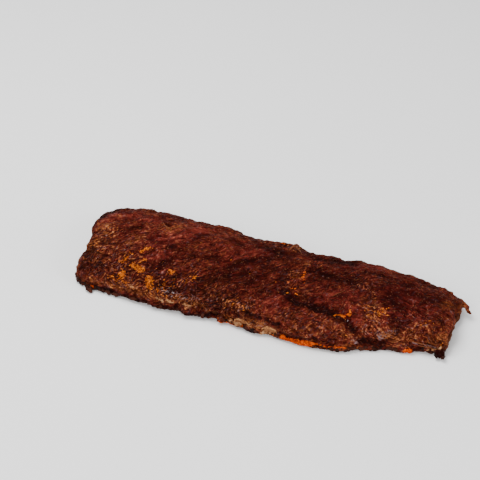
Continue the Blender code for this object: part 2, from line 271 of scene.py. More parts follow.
class Graph:
    """The node tree of one finish.

    A Mix node has sockets for numbers, vectors and colours, so those for a colour go by their numbers.
    """

    mix_inputs: tuple[int, int, int] = (0, 6, 7)
    mix_output: int = 2

    def __init__(self, name: str) -> None:
        """Makes the material with its Principled shader.

        Args:
            name: The material's name.
        """
        self.material = bpy.data.materials.new(name)
        self.material.use_nodes = True
        self.tree = self.material.node_tree
        self.shader = self.tree.nodes["Principled BSDF"]
        self.position = self.out("ShaderNodeTexCoord", {}, {}, "Object")

    def node(self, kind: str, settings: dict, inputs: dict) -> bpy.types.Node:
        """Adds a node.

        Args:
            kind: The node's type.
            settings: Its own properties, set first. Stops are those of a colour ramp.
            inputs: The value or signal of each socket, by name or by number.

        Returns:
            The node.
        """
        made = self.tree.nodes.new(kind)
        for name, value in settings.items():
            if name == "stops":
                self._stops(made.color_ramp, value)
            else:
                setattr(made, name, value)
        for key, value in inputs.items():
            self.feed(made.inputs[key], value)
        return made

    def out(self, kind: str, settings: dict, inputs: dict, output: str | int = 0) -> Signal:
        """Adds a node and gives one of its outputs as a signal."""
        return Signal(self, self.node(kind, settings, inputs).outputs[output])

    def feed(self, socket: bpy.types.NodeSocket, value: object) -> None:
        """Links a signal to a socket, or sets the socket's own value.

        Args:
            socket: The socket.
            value: A signal, or a number, colour or vector.
        """
        if isinstance(value, Signal):
            self.tree.links.new(value.socket, socket)
        elif isinstance(value, tuple) and socket.type == "RGBA":
            socket.default_value = (*value, 1.0)
        else:
            socket.default_value = value

    @staticmethod
    def _stops(ramp: bpy.types.ColorRamp, stops: Scale) -> None:
        """Sets a colour ramp's stops.

        Args:
            ramp: The ramp.
            stops: The place and colour of each stop.
        """
        while len(ramp.elements) < len(stops):
            ramp.elements.new(1.0)
        for element, (place, colour) in zip(ramp.elements, stops):
            element.position = place
            element.color = (*colour, 1.0)

    def named(self, name: str) -> Signal:
        """A vertex attribute of the piece."""
        return self.out("ShaderNodeAttribute", {"attribute_name": name}, {}, "Fac")

    def mask(self, mask: Mask) -> Signal:
        """A mask of the slab's surface."""
        return self.named(mask.value)

    def noise(self, vector: Signal, scale: float, detail: float = 3.0, rough: float = 0.6) -> Signal:
        """Fractal noise from 0 to 1, of features about 1 / scale wide."""
        sockets = {"Vector": vector, "Scale": scale, "Detail": detail, "Roughness": rough}
        return self.out("ShaderNodeTexNoise", {}, sockets, "Fac")

    def cells(self, vector: Signal, scale: float, output: str = "Distance") -> Signal:
        """A Voronoi texture's distance from each cell's point, or its colour."""
        return self.out("ShaderNodeTexVoronoi", {}, {"Vector": vector, "Scale": scale}, output)

    def vector(self, operation: str, *values: object) -> Signal:
        """A Vector Math node."""
        return self.out("ShaderNodeVectorMath", {"operation": operation}, dict(enumerate(values)), "Vector")

    def grained(self, vector: Signal, turn: "Signal | float", stretch: Triple) -> Signal:
        """Coordinates drawn out along a grain.

        Args:
            vector: The coordinates.
            turn: The grain's direction from the rack's length in degrees, a number or a signal.
            stretch: The scale along the grain, across it and upwards.

        Returns:
            The new coordinates.
        """
        inputs = {"Vector": vector, "Angle": turn * -math.radians(1.0)}
        turned = self.out("ShaderNodeVectorRotate", {"rotation_type": "Z_AXIS"}, inputs)
        return self.vector("MULTIPLY", turned, stretch)

    def blend(self, factor: Signal | float, first: Signal | Colour, second: Signal | Colour) -> Signal:
        """A colour between two.

        Args:
            factor: The share of the second, kept from 0 to 1.
            first: The first colour.
            second: The second colour.

        Returns:
            The colour.
        """
        made = self.tree.nodes.new("ShaderNodeMix")
        made.data_type = "RGBA"
        made.clamp_factor = True
        for number, value in zip(self.mix_inputs, (factor, first, second)):
            self.feed(made.inputs[number], value)
        return Signal(self, made.outputs[self.mix_output])

    def ramp(self, value: Signal, *stops: tuple[float, Colour]) -> Signal:
        """A colour ramp over a value."""
        return self.out("ShaderNodeValToRGB", {"stops": stops}, {"Fac": value}, "Color")

    def bump(self, height: Signal, distance: float, under: Signal | None = None) -> Signal:
        """The normal of a raised surface.

        Args:
            height: How far it is raised, as a share of the distance.
            distance: The distance in metres.
            under: The normal of a coarser relief under this one.

        Returns:
            The normal.
        """
        sockets = {"Height": height, "Distance": distance, "Strength": 1.0}
        if under is not None:
            sockets["Normal"] = under
        return self.out("ShaderNodeBump", {}, sockets, "Normal")

    def surface(self, **sockets: object) -> bpy.types.Material:
        """Feeds the Principled shader.

        Args:
            sockets: A value or signal for each socket, with underscores for the spaces in its name.

        Returns:
            The material.
        """
        for name, value in sockets.items():
            self.feed(self.shader.inputs[name.replace("_", " ")], value)
        return self.material


# Finishes


def long_grain_turn(run: "np.ndarray | Signal") -> "np.ndarray | Signal":
    """The direction in degrees of the lengthwise fibres, which bend with the rack's outline."""
    return LONG_GRAIN_TURN - LONG_GRAIN_BEND * run


@dataclass(frozen=True)
class BarkTexture:
    """What the colours and the relief of the bark are mixed from: noises, most of them about 0, and masks.

    Lain is the coordinates of its grains, and crusty is 1 where the bark is a thick crust.
    """

    place: Signal
    lain: Signal
    fibre: Signal
    streak: Signal
    stroke: Signal
    crumb: Signal
    grit: Signal
    gritty: Signal
    grains: Signal
    patch: Signal
    broad: Signal
    crusty: Signal
    char: Signal
    red: Signal


@dataclass(frozen=True)
class BarkFinish:
    """The smoked outside of the slab: bark over fibres, with char, melted fat and a membrane underneath.

    One tone, from the fibres and the crumb of the bark, picks a colour from a red, a brown or a cool scale,
    the cool one a painted sheen. Char with painted shade, tan, painted light on the relief's ridges and
    painted shade in its hollows shift that tone, so that the fibres run on through them.
    """

    red_scale: Scale = (
        (0.0, (0.0105, 0.0016, 0.0013)),
        (0.3, (0.024, 0.0023, 0.0018)),
        (0.5, (0.0545, 0.0062, 0.0044)),
        (0.68, (0.098, 0.0136, 0.0094)),
        (0.85, (0.168, 0.0305, 0.019)),
        (1.0, (0.275, 0.073, 0.04)),
    )
    brown_scale: Scale = (
        (0.0, (0.0105, 0.0028, 0.0014)),
        (0.3, (0.024, 0.0046, 0.0019)),
        (0.5, (0.056, 0.0116, 0.0045)),
        (0.68, (0.11, 0.0275, 0.0096)),
        (0.85, (0.213, 0.0625, 0.02)),
        (1.0, (0.365, 0.134, 0.045)),
    )
    # Painted sheen: cool, bluish colours for the reflection on wet meat.
    cool_sheen_colours: Scale = (
        (0.0, (0.008, 0.0045, 0.0052)),
        (0.5, (0.04, 0.015, 0.017)),
        (1.0, (0.21, 0.115, 0.11)),
    )
    fat_scale: Scale = (
        (0.15, (0.15, 0.024, 0.004)),
        (0.5, (0.42, 0.086, 0.005)),
        (0.85, (0.74, 0.205, 0.022)),
    )
    strip_scale: Scale = (
        (0.1, (0.15, 0.011, 0.0008)),
        (0.5, (0.52, 0.054, 0.001)),
        (0.9, (0.76, 0.145, 0.006)),
    )
    skin_scale: Scale = (
        (0.2, (0.04, 0.008, 0.004)),
        (0.5, (0.12, 0.04, 0.019)),
        (0.8, (0.23, 0.105, 0.052)),
    )
    # Painted sheen: a pale, cool colour that the glints blend in as a reflection.
    painted_sheen: Colour = (0.15, 0.09, 0.095)
    pale_scale: Scale = (
        (0.1, (0.15, 0.05, 0.019)),
        (0.45, (0.34, 0.15, 0.064)),
        (0.85, (0.5, 0.27, 0.135)),
    )
    painted_sheen_cover: float = 0.75
    cool_sheen_cover: float = 0.85
    pale_cover: float = 0.95
    warp: float = 0.015
    warp_scale: float = 58.0
    seam_turn: float = 45.0
    fibre_stretch: Triple = (80.0, 620.0, 620.0)
    grit_stretch: Triple = (380.0, 900.0, 900.0)
    streak_stretch: Triple = (34.0, 170.0, 170.0)
    stroke_stretch: Triple = (130.0, 850.0, 850.0)
    crumb_stretch: Triple = (340.0, 560.0, 560.0)
    grain_stretch: Triple = (230.0, 520.0, 520.0)
    sinew_stretch: Triple = (45.0, 420.0, 300.0)
    sinew_turn: float = 90.0
    strand_offset: Triple = (0.013, 0.007, 0.021)
    crumb_offset: Triple = (0.031, 0.011, 0.005)
    broad_scale: float = 24.0
    patch_scale: float = 120.0
    mottle_scale: float = 210.0
    blot_scale: float = 300.0
    pit_scale: float = 360.0
    cool_sheen_scale: float = 0.85
    grain_edge: Span = (0.52, 0.08)
    cool_sheen_edge: Span = (0.58, 0.70)
    pit_edge: Span = (0.16, 0.40)
    fat_edge: Span = (0.56, 0.72)
    strip_edge: Span = (0.34, 0.58)
    pale_edge: Span = (0.32, 0.92)
    glint_edge: Span = (0.56, 0.80)
    middle_tone: float = 0.468
    middle_roughness: float = 0.52
    fine_relief: float = 0.0016
    coarse_relief: float = 0.0020
    specular: float = 0.008
    coat: float = 0.7
    coat_roughness: float = 0.22

    def build(self) -> bpy.types.Material:
        """Makes the material.

        Returns:
            The material.
        """
        g = Graph("bark")
        bark = self._texture(g)
        colour, fat = self._melted(g, bark, self._crust(g, bark))
        glint = (g.mask(Mask.SHINE) + bark.stroke * 2.4 + bark.crumb * 0.8).step(*self.glint_edge)
        # Painted highlights: the glints blend the colour towards the sheen colour, besides raising the clear
        # coat.
        colour = g.blend(glint * self.painted_sheen_cover, colour, self.painted_sheen)
        sinew = g.noise(g.grained(g.position, self.sinew_turn, self.sinew_stretch), 1.0)
        skin = g.ramp((sinew * 0.7 + bark.patch * 0.6 + 0.15).clamp(), *self.skin_scale)
        colour = g.blend(g.mask(Mask.UNDER), colour, skin)

        coarse = g.bump(bark.streak * 0.5 + bark.patch * 0.6, self.coarse_relief)
        rubble = bark.crumb * (bark.crusty * 0.6 - bark.red * 0.4 + 0.75) + bark.grains * 0.2
        height = bark.fibre * 0.7 + bark.gritty * 0.5 + rubble + fat * 0.05
        fine = g.bump(height, self.fine_relief, coarse)
        rough = bark.crumb * 0.5 - fat * 0.16 - bark.red * 0.08 + bark.char * 0.10 + self.middle_roughness
        g.surface(Base_Color=colour, Roughness=rough.clamp(), Normal=fine)
        g.surface(Specular_IOR_Level=self.specular, Coat_Roughness=self.coat_roughness)
        return g.surface(Coat_Weight=glint * self.coat)

    def _texture(self, g: Graph) -> BarkTexture:
        """Makes the noises and masks that the other methods mix.

        Args:
            g: The graph.

        Returns:
            The texture.
        """
        waver = {"Vector": g.position, "Scale": self.warp_scale, "Detail": 2.0}
        drift = g.out("ShaderNodeTexNoise", {}, waver, "Color")
        shift = g.vector("MULTIPLY", g.vector("SUBTRACT", drift, (0.5, 0.5, 0.5)), (self.warp,) * 3)
        place = g.vector("ADD", g.position, shift)
        patch = g.noise(place, self.patch_scale, detail=4.0, rough=0.62) - 0.5
        broad = g.noise(g.position, self.broad_scale, rough=0.55) - 0.5
        red = g.mask(Mask.RED)
        crusty = (g.mask(Mask.CRUMBLY) - red * 0.7 + broad * 1.8 + 0.28).clamp()
        grit = self._grain(g, place, self.grit_stretch, self.strand_offset)
        lain = g.grained(place, self.seam_turn, self.grain_stretch)
        clumps = (patch * 4.0 + 0.55).clamp() * (crusty * 1.1 + 0.15)
        dots = g.cells(lain, 1.0).step(*self.grain_edge) * g.cells(lain, 1.0, "Color")
        return BarkTexture(
            place=place,
            lain=lain,
            fibre=self._grain(g, place, self.fibre_stretch),
            streak=self._grain(g, place, self.streak_stretch),
            stroke=self._grain(g, place, self.stroke_stretch, self.strand_offset),
            crumb=self._grain(g, place, self.crumb_stretch, self.crumb_offset),
            grit=grit,
            gritty=grit * (crusty + 0.62),
            grains=(dots - 0.16) * clumps,
            patch=patch,
            broad=broad,
            crusty=crusty,
            char=g.mask(Mask.CHAR_AND_SHADE),
            red=red,
        )

    def _crust(self, g: Graph, bark: BarkTexture) -> Signal:
        """The bark's colour with painted light, shade and sheen: one tone, read on a red, a brown and a cool
        scale.

        Args:
            g: The graph.
            bark: The texture.

        Returns:
            The colour.
        """
        tan = g.mask(Mask.TAN)
        crumbly = bark.crumb * (bark.crusty * 0.9 - bark.red * 0.3 + 0.5)
        fibrous = bark.fibre * (bark.crusty * 0.3 + 0.9) + bark.streak * (bark.red * 0.6 + 0.6)
        waves = fibrous * 1.15 + bark.gritty * 1.2 + bark.patch * 0.8 + crumbly
        # Painted light and shade: the relief's ridges lighter and its hollows darker, and the steep sides a
        # little lighter.
        shifts = g.mask(Mask.RISE) * 0.12 + tan * 0.14 + bark.red * 0.10 + g.mask(Mask.SIDE) * 0.05
        tone = waves + bark.broad * 0.5 + bark.grains * 0.7 + shifts + self.middle_tone
        # Painted shade, with the char, darkens the tone.
        tone = (tone - bark.char * (bark.patch * 0.5 + 0.38)).clamp()
        blotch = g.noise(g.position, self.mottle_scale, rough=0.7) - 0.5
        mottle = blotch * 2.4 + bark.crumb * 2.2 + bark.grains * 0.9
        brownish = (tan * 0.60 - bark.red * 0.7 + bark.crusty * 0.30 + mottle + 0.18).clamp()
        colour = g.blend(brownish, g.ramp(tone, *self.red_scale), g.ramp(tone, *self.brown_scale))
        # Painted cool sheen, laid over patches at random, a little more on crust and on char and shade.
        cool_sheen = g.noise(bark.lain, self.cool_sheen_scale, rough=0.75) + bark.crusty * 0.05 + bark.char * 0.05
        cool_sheen = cool_sheen.step(*self.cool_sheen_edge) * self.cool_sheen_cover
        return g.blend(cool_sheen, colour, g.ramp(tone, *self.cool_sheen_colours))

    def _melted(self, g: Graph, bark: BarkTexture, colour: Signal) -> tuple[Signal, Signal]:
        """Lays melted fat, the soft strip at the foot and pale gristle over a colour.

        Args:
            g: The graph.
            bark: The texture.
            colour: The colour under them.

        Returns:
            The new colour, and how much of a place is fat.
        """
        pits = g.cells(g.position, self.pit_scale).step(*self.pit_edge)
        melt = bark.crumb * 1.2 + bark.patch * 0.7 + bark.grit * 1.2
        blot = g.noise(bark.place, self.blot_scale, rough=0.75) - 0.5
        fat_tone = (melt * 1.3 + bark.grains * 0.6 + 0.43).clamp()
        fat = (g.mask(Mask.FAT) + blot * 2.0 + bark.grit * 1.5 + bark.crumb * 0.9).step(*self.fat_edge)
        fat = fat * (pits * 0.85 + 0.15)
        colour = g.blend(fat, colour, g.ramp(fat_tone, *self.fat_scale))
        strip = (g.mask(Mask.ORANGE) + melt * 0.8).step(*self.strip_edge)
        colour = g.blend(strip, colour, g.ramp(fat_tone, *self.strip_scale))
        pale = (g.mask(Mask.PALE) + melt * 0.9).step(*self.pale_edge)
        pale_tone = (g.mask(Mask.PALE) * 0.5 + melt * 1.2 + 0.05).clamp()
        return g.blend(pale * self.pale_cover, colour, g.ramp(pale_tone, *self.pale_scale)), fat

    def _grain(self, g: Graph, place: Signal, stretch: Triple, offset: Triple = (0.0, 0.0, 0.0)) -> Signal:
        """Fibres that follow the rack's length in some places, and the slanted seams elsewhere.

        Args:
            g: The graph.
            place: The coordinates.
            stretch: The noise's scale along the fibres, across them and upwards.
            offset: A shift that gives fibres of other places.

        Returns:
            The noise, about 0.
        """
        place = g.vector("ADD", place, offset)
        run = g.out("ShaderNodeSeparateXYZ", {}, {"Vector": place}, "X")
        along = g.noise(g.grained(place, long_grain_turn(run), stretch), 1.0)
        across = g.noise(g.grained(place, self.seam_turn, stretch), 1.0)
        return across + (along - across) * g.mask(Mask.LONG_GRAIN).clamp() - 0.5


class BoneEnd(Enum):
    """How a bone's front end shows."""

    COVERED = "bark has closed over it"
    CRUSTED = "it shows as a dark crust in a shallow hollow"
    BARE = "its upper part is bare"


FRONT_ENDS: dict[str, BoneEnd] = {
    "rib_bone_06": BoneEnd.CRUSTED,
    "rib_bone_07": BoneEnd.BARE,
    "rib_bone_08": BoneEnd.BARE,
}


@dataclass(frozen=True)
class BoneFinish:
    """Cooked bone: pale tan where it shows, and crusted brown where the bark has grown over it."""

    scale: Scale = (
        (0.3, (0.21, 0.064, 0.022)),
        (0.5, (0.44, 0.17, 0.064)),
        (0.72, (0.64, 0.3, 0.13)),
    )
    marrow: Colour = (0.07, 0.018, 0.008)
    patch_scale: float = 210.0
    crumb_scale: float = 560.0
    marrow_cover: float = 0.6
    marrow_edge: Span = (0.4, 0.7)
    bare_edge: Span = (0.36, 0.80)
    relief: float = 0.0012
    specular: float = 0.05
    crust_scale: Scale = (
        (0.3, (0.009, 0.0022, 0.0014)),
        (0.5, (0.034, 0.0072, 0.0034)),
        (0.75, (0.095, 0.028, 0.011)),
    )

    def build(self) -> bpy.types.Material:
        """Makes the material.

        Returns:
            The material.
        """
        g = Graph("bone")
        patch = g.noise(g.position, self.patch_scale, detail=4.0, rough=0.65)
        crumb = g.noise(g.position, self.crumb_scale, detail=4.0, rough=0.72)
        shade = ((patch - 0.5) * 1.2 + (crumb - 0.5) * 1.6 + 0.5).clamp()
        inner = (g.named("marrow") + crumb - 0.5).step(*self.marrow_edge)
        bone = g.blend(inner * self.marrow_cover, g.ramp(shade, *self.scale), self.marrow)
        open_bone = (g.named("bare") + (patch - 0.5) * 0.9 + (crumb - 0.5) * 0.9).step(*self.bare_edge)
        colour = g.blend(open_bone, g.ramp(shade, *self.crust_scale), bone)
        rough = (crumb * 0.4 + 0.28).clamp()
        normal = g.bump(patch * 0.5 + crumb, self.relief)
        return g.surface(Base_Color=colour, Roughness=rough, Normal=normal, Specular_IOR_Level=self.specular)


@dataclass(frozen=True)
class FlakeFinish:
    """Small loose pieces, each with a tone of its own between two colours."""

    name: str
    dark: Colour
    light: Colour
    roughness: float
    grain_scale: float = 900.0
    relief: float = 0.0003
    specular: float = 0.06

    def build(self) -> bpy.types.Material:
        """Makes the material.

        Returns:
            The material.
        """
        g = Graph(self.name)
        tone = g.named("tone")
        grain = g.noise(g.position, self.grain_scale)
        colour = g.blend((tone + (grain - 0.5) * 0.9).clamp(), self.dark, self.light)
        rough = ((grain - 0.5) * 0.3 + self.roughness).clamp()
        normal = g.bump(grain, self.relief)
        return g.surface(Base_Color=colour, Roughness=rough, Normal=normal, Specular_IOR_Level=self.specular)


# Places that the photograph shows

@dataclass(frozen=True)
class Mark:
    """A soft patch on the slab along a path of pixels, with its reach to each side in millimetres."""

    name: str
    path: tuple[Pixel, ...]
    reach_mm: float
    strength: float


MARKS: dict[Mask, tuple[Mark, ...]] = {}
MARKS[Mask.FAT] = (
    Mark("broad melt beside left muscle", ((133, 265.5), (141.5, 270.5)), 3.4, 0.7),
    Mark("upper lobe of broad melt", ((141, 261), (145.5, 260)), 2.6, 0.58),
    Mark("thin upper streak", ((141, 252), (145.5, 250), (150.5, 248)), 1.8, 0.85),
    Mark("small bright melt", ((122.5, 274),), 3.4, 1),
    Mark("bright melt over shoulder", ((149.2, 279), (149, 284.5)), 3.2, 0.84),
    Mark("right-hand melt", ((170, 271.8), (173.5, 271.6)), 2.8, 0.76),
    Mark("upper lace", ((130.5, 254), (121, 261.5)), 4.2, 0.43),
    Mark("lower lace", ((113, 277), (119, 282.5)), 4.8, 0.42),
    Mark("shoulder melt at left", ((125, 283), (134.5, 288.5)), 3.2, 0.42),
    Mark("specks along shoulder", ((152, 291), (170, 294)), 5.2, 0.34),
    Mark("specks over middle left", ((165, 284), (196, 276)), 7, 0.36),
    Mark("small tan melt", ((194.5, 278),), 2, 0.45),
    Mark("speckled crust over lip", ((234, 303), (245, 306)), 5.4, 0.34),
    Mark("middle dot", ((248.5, 273.5),), 2.2, 0.55),
    Mark("pale dot", ((231.3, 259.8),), 1.5, 0.8),
    Mark("orange fibres beside them", ((288, 283), (299, 276)), 4.6, 0.1),
    Mark("bead in dark hollow", ((287.2, 292.8),), 1.5, 1),
    Mark("rim of dark hollow", ((290, 289), (295, 293)), 2.2, 0.14),
    Mark("melt on groove, left", ((335, 315), (341, 316)), 2.1, 0.62),
    Mark("melt on groove, right", ((345, 316.6), (350, 313.5)), 2.4, 0.66),
    Mark("arm of that melt", ((350, 312), (352, 306.5)), 1.1, 0.42),
    Mark("yellow fibres, upper", ((377, 312), (387, 308.5)), 2.6, 0.38),
    Mark("yellow fibres, lower", ((372, 317.5), (381, 315.5)), 2.2, 0.34),
    Mark("yellow lace round them", ((362, 306), (392, 318)), 9, 0.22),
    Mark("tan fibres at right", ((418, 325.5), (430, 322)), 4, 0.36),
    Mark("fat at right corner", ((441, 345),), 1.6, 0.7),
    Mark("bead at back edge", ((283, 244),), 2.2, 0.6),
    Mark("specks on upper left", ((98, 222), (112, 230)), 9, 0.24),
    Mark("specks at left end", ((92, 242), (96, 252)), 6, 0.22),
    Mark("specks round melts", ((124, 262), (140, 272), (152, 280)), 11, 0.17),
)
MARKS[Mask.ORANGE] = (
    Mark("soft fat along foot", ((283.5, 338.2), (292, 340.8), (303, 344.4)), 3, 1.15),
    Mark("thinner stretch of it", ((303, 342.8), (312, 344)), 2, 0.85),
    Mark("end of soft fat", ((314, 344.2), (328, 345.6), (345, 347)), 1.2, 0.56),
    Mark("drop at foot", ((404.5, 350), (409.5, 350.6)), 2.1, 1.05),
    Mark("drop at left tag", ((92.5, 286.5),), 1.8, 0.85),
    Mark("line under bare bones", ((220, 319.5), (232, 323.2), (243, 326.8)), 0.8, 0.5),
    Mark("line beyond bare bones", ((262, 333), (268, 334.4), (276, 336)), 0.9, 0.5),
    Mark("upright orange fibres", ((304, 273), (303.5, 285)), 2.8, 0.34),
    Mark("ring of dark hollow", ((289.5, 287.5), (295, 289), (297, 294)), 2, 0.3),
    Mark("melt on groove, left", ((335, 315), (341, 316)), 1.6, 0.44),
    Mark("melt on groove, right", ((345, 316.4), (350, 313.5)), 1.8, 0.48),
    Mark("bead at back edge", ((283, 244.2),), 1.8, 0.6),
    Mark("orange wisps beside them", ((291, 283), (298, 277.5)), 3, 0.24),
)
# Dark char, and painted shade where shade falls: grooves, creases, hollows, lips, the foot and the front
# side.
MARKS[Mask.CHAR_AND_SHADE] = (
    Mark("dark hollow", ((285.5, 292.5), (288, 295.5)), 3.8, 1.4),
    Mark("groove, upper stretch", ((289, 298.5), (298, 303), (312, 307.5)), 3, 0.85),
    Mark("groove, middle stretch", ((314, 308.5), (324, 311.5), (333, 314.5)), 3.8, 1.4),
    Mark("groove, lower stretch", ((336, 317.5), (347, 320.5), (353, 331)), 3, 0.9),
    Mark("shade in left end's notch", ((88.5, 249.5), (94, 250.5)), 2, 0.25),
    Mark("shade round groove", ((292, 302), (325, 310)), 8, 0.46),
    Mark("lip over bare bones", ((247, 313), (266, 320.2), (279, 324.5)), 1.7, 1),
    Mark("shade over lip", ((200, 303), (240, 313)), 5, 0.35),
    Mark("upper right shade", ((318, 272), (332, 278), (354, 283)), 8.5, 0.55),
    Mark("dark pit, upper right", ((322, 273), (331, 275)), 3.2, 0.55),
    Mark("shade at back edge", ((336, 261.5), (350, 263.5)), 6, 0.95),
    Mark("crease by back edge", ((366, 272), (382, 276)), 3.5, 0.6),
    Mark("shade at far right", ((396, 282), (430, 296)), 12, 0.37),
    Mark("dark red hollow", ((391, 296), (396, 308)), 7, 0.45),
    Mark("dark red field at right", ((400, 296), (418, 310)), 11, 0.42),
    Mark("shade by right end", ((424, 299), (440, 303)), 6, 0.36),
    Mark("speck near left muscle", ((167.5, 248.5), (172.5, 246)), 2.4, 0.8),
    Mark("shade on left muscle", ((130, 229), (142, 228)), 5, 0.36),
    Mark("purple shade", ((149, 270), (160, 268)), 5, 0.48),
    Mark("shade under purple one", ((152, 286), (182, 289)), 5, 0.5),
    Mark("long middle shade", ((196, 287), (222, 277), (243, 262)), 8.5, 0.55),
    Mark("second middle shade", ((222, 296), (246, 285), (268, 268)), 7, 0.36),
    Mark("shade before dark hollow", ((262, 292), (280, 290)), 7.4, 0.38),
    Mark("shade at left end", ((84, 268), (100, 264)), 6.5, 0.42),
    Mark("small triangle", ((165.5, 223.5), (169, 226)), 2.4, 0.85),
    Mark("shade at back middle", ((262, 247), (280, 252)), 6, 0.42),
    Mark("dark right side, left half", ((361, 342.5), (368, 343.5)), 3.4, 0.6),
    Mark("dark right side, right half", ((366, 341), (384, 344)), 3.6, 0.74),
    Mark("dark front side at left", ((97, 290.5), (118, 295.5), (140, 301.5)), 3.4, 1.1),
    Mark("dark front side", ((140, 301.5), (180, 311.5), (205, 315.5)), 3.4, 1.1),
    Mark("hollows between bone ends", ((205, 312), (218, 315.5)), 2.2, 0.6),
    Mark("right front tag", ((443, 354.5), (438.5, 355)), 4.6, 1.4),
    Mark("left front tag", ((86, 286), (91, 289.5)), 4, 0.85),
    Mark("shade over soft fat", ((284, 332.6), (305, 338.5), (328, 340)), 3.4, 0.58),
    Mark("dark foot at right", ((318, 347), (334, 348.5)), 1.6, 0.5),
    Mark("second upper right shade", ((352, 272), (364, 281), (380, 287)), 7, 0.48),
    Mark("edge of bump", ((301, 251.5), (312, 256), (322, 260)), 4.8, 0.6),
    Mark("shade before right end", ((392, 320.5), (406, 323)), 6, 0.5),
    Mark("shade left of orange fibres", ((279, 281), (286, 272)), 4.5, 0.5),
    Mark("shade over right-hand melt", ((164, 262), (176, 267)), 5.8, 0.64),
    Mark("shade behind left end", ((84, 255), (90, 257)), 5, 0.42),
    Mark("shade at left corner", ((101, 218), (95.5, 224)), 6.6, 1.1),
    Mark("shade under right-hand gristle", ((178, 310), (190, 313)), 3.4, 1.05),
    Mark("shade under right-hand melt", ((172, 277), (182, 275)), 3.2, 0.42),
    Mark("shade under tan rise", ((152, 241), (160, 243)), 5, 0.5),
    Mark("shade behind pinkish muscle", ((326, 286), (334, 288)), 3.6, 0.45),
    Mark("second shade at back middle", ((240, 244), (252, 246)), 5, 0.4),
    Mark("shade above long one", ((196, 256), (212, 259), (223, 262)), 5.5, 0.44),
    Mark("shade by dark hollow's tail", ((282, 311), (290, 313)), 4.5, 0.36),
    Mark("shade in light crust", ((302, 324), (312, 326), (319, 322.5)), 4.5, 0.5),
    Mark("shade at back, beside bump", ((281, 246.5), (288, 246.5)), 3.4, 0.7),
    Mark("foot of left muscle", ((172, 245.5), (194, 241), (203, 234)), 4.5, 0.42),
    Mark("shade in middle muscle", ((262, 261), (276, 257)), 5.5, 0.6),
    Mark("dark foot at left tag", ((86, 287.5), (98, 289.5), (112, 291)), 3, 0.95),
    Mark("shade right of yellow crust", ((428, 319), (438, 321)), 4.5, 0.45),
    Mark("dark foot before corner", ((414, 348.8), (421, 349.8)), 2.2, 0.8),
    Mark("shade right of bright melt", ((157, 275), (164, 278)), 4, 0.42),
    Mark("shade beyond speck", ((182, 252), (190, 256)), 5, 0.36),
    Mark("foot between bare bones", ((244, 327.5), (257, 331.5)), 2, 0.9),
    Mark("shade between laces", ((117, 267), (124, 268)), 3.2, 0.45),
    Mark("edge of long muscle", ((104, 215), (118, 211)), 4, 0.85),
    Mark("edge at far right", ((420, 281.5), (436, 288)), 4, 0.5),
    Mark("shade below long one", ((206, 294), (216, 292)), 4.2, 0.4),
    Mark("second shade by corner", ((411, 345.5), (419, 346.5)), 2.4, 0.55),
    Mark("crease in smooth muscle", ((150, 240.5), (166, 238)), 2.8, 0.4),
    Mark("shade beside ring", ((298, 287),), 3.6, 0.45),
    Mark("brown shade before bump", ((270, 249), (288, 256)), 7, 0.62),
    Mark("shade right of middle muscle", ((276, 271), (292, 265.5)), 4, 0.42),
    Mark("dark edge of long middle shade", ((228, 282), (246, 272)), 5, 0.3),
    Mark("shade behind groove", ((313, 300.5), (322, 298.5)), 3.6, 0.34),
    Mark("shade left of yellow crust", ((361, 311), (365, 316)), 4, 0.36),
)
MARKS[Mask.RED] = (
    Mark("smooth muscle, upper left", ((158, 238), (180, 236), (196, 230)), 12, 0.8),
    Mark("long muscle, upper left", ((100, 219), (130, 216), (160, 221)), 6.5, 0.6),
    Mark("muscle in middle", ((236, 262), (256, 252), (266, 253)), 10.5, 0.5),
    Mark("pinkish muscle", ((322, 300), (341, 295), (352, 291)), 8.5, 0.6),
    Mark("muscle past groove", ((352, 309), (357, 317)), 6.8, 0.66),
    Mark("deep red hollow", ((388, 318), (402, 312)), 7.5, 0.65),
    Mark("muscle by back edge", ((340, 267), (378, 268)), 6, 0.5),
    Mark("band before groove", ((268, 303), (284, 300)), 8, 0.45),
    Mark("band under groove", ((306, 319), (332, 325)), 7, 0.32),
    Mark("dark red field at right", ((394, 294), (420, 308)), 12, 0.6),
    Mark("right end", ((459, 312), (449, 336)), 6, 0.6),
    Mark("red below left muscle", ((150, 259), (165, 255), (162, 270)), 6, 0.6),
    Mark("red crust at right", ((406, 322), (430, 317)), 6, 0.42),
    Mark("front side at left", ((100, 287.5), (126, 294)), 3, 0.7),
)
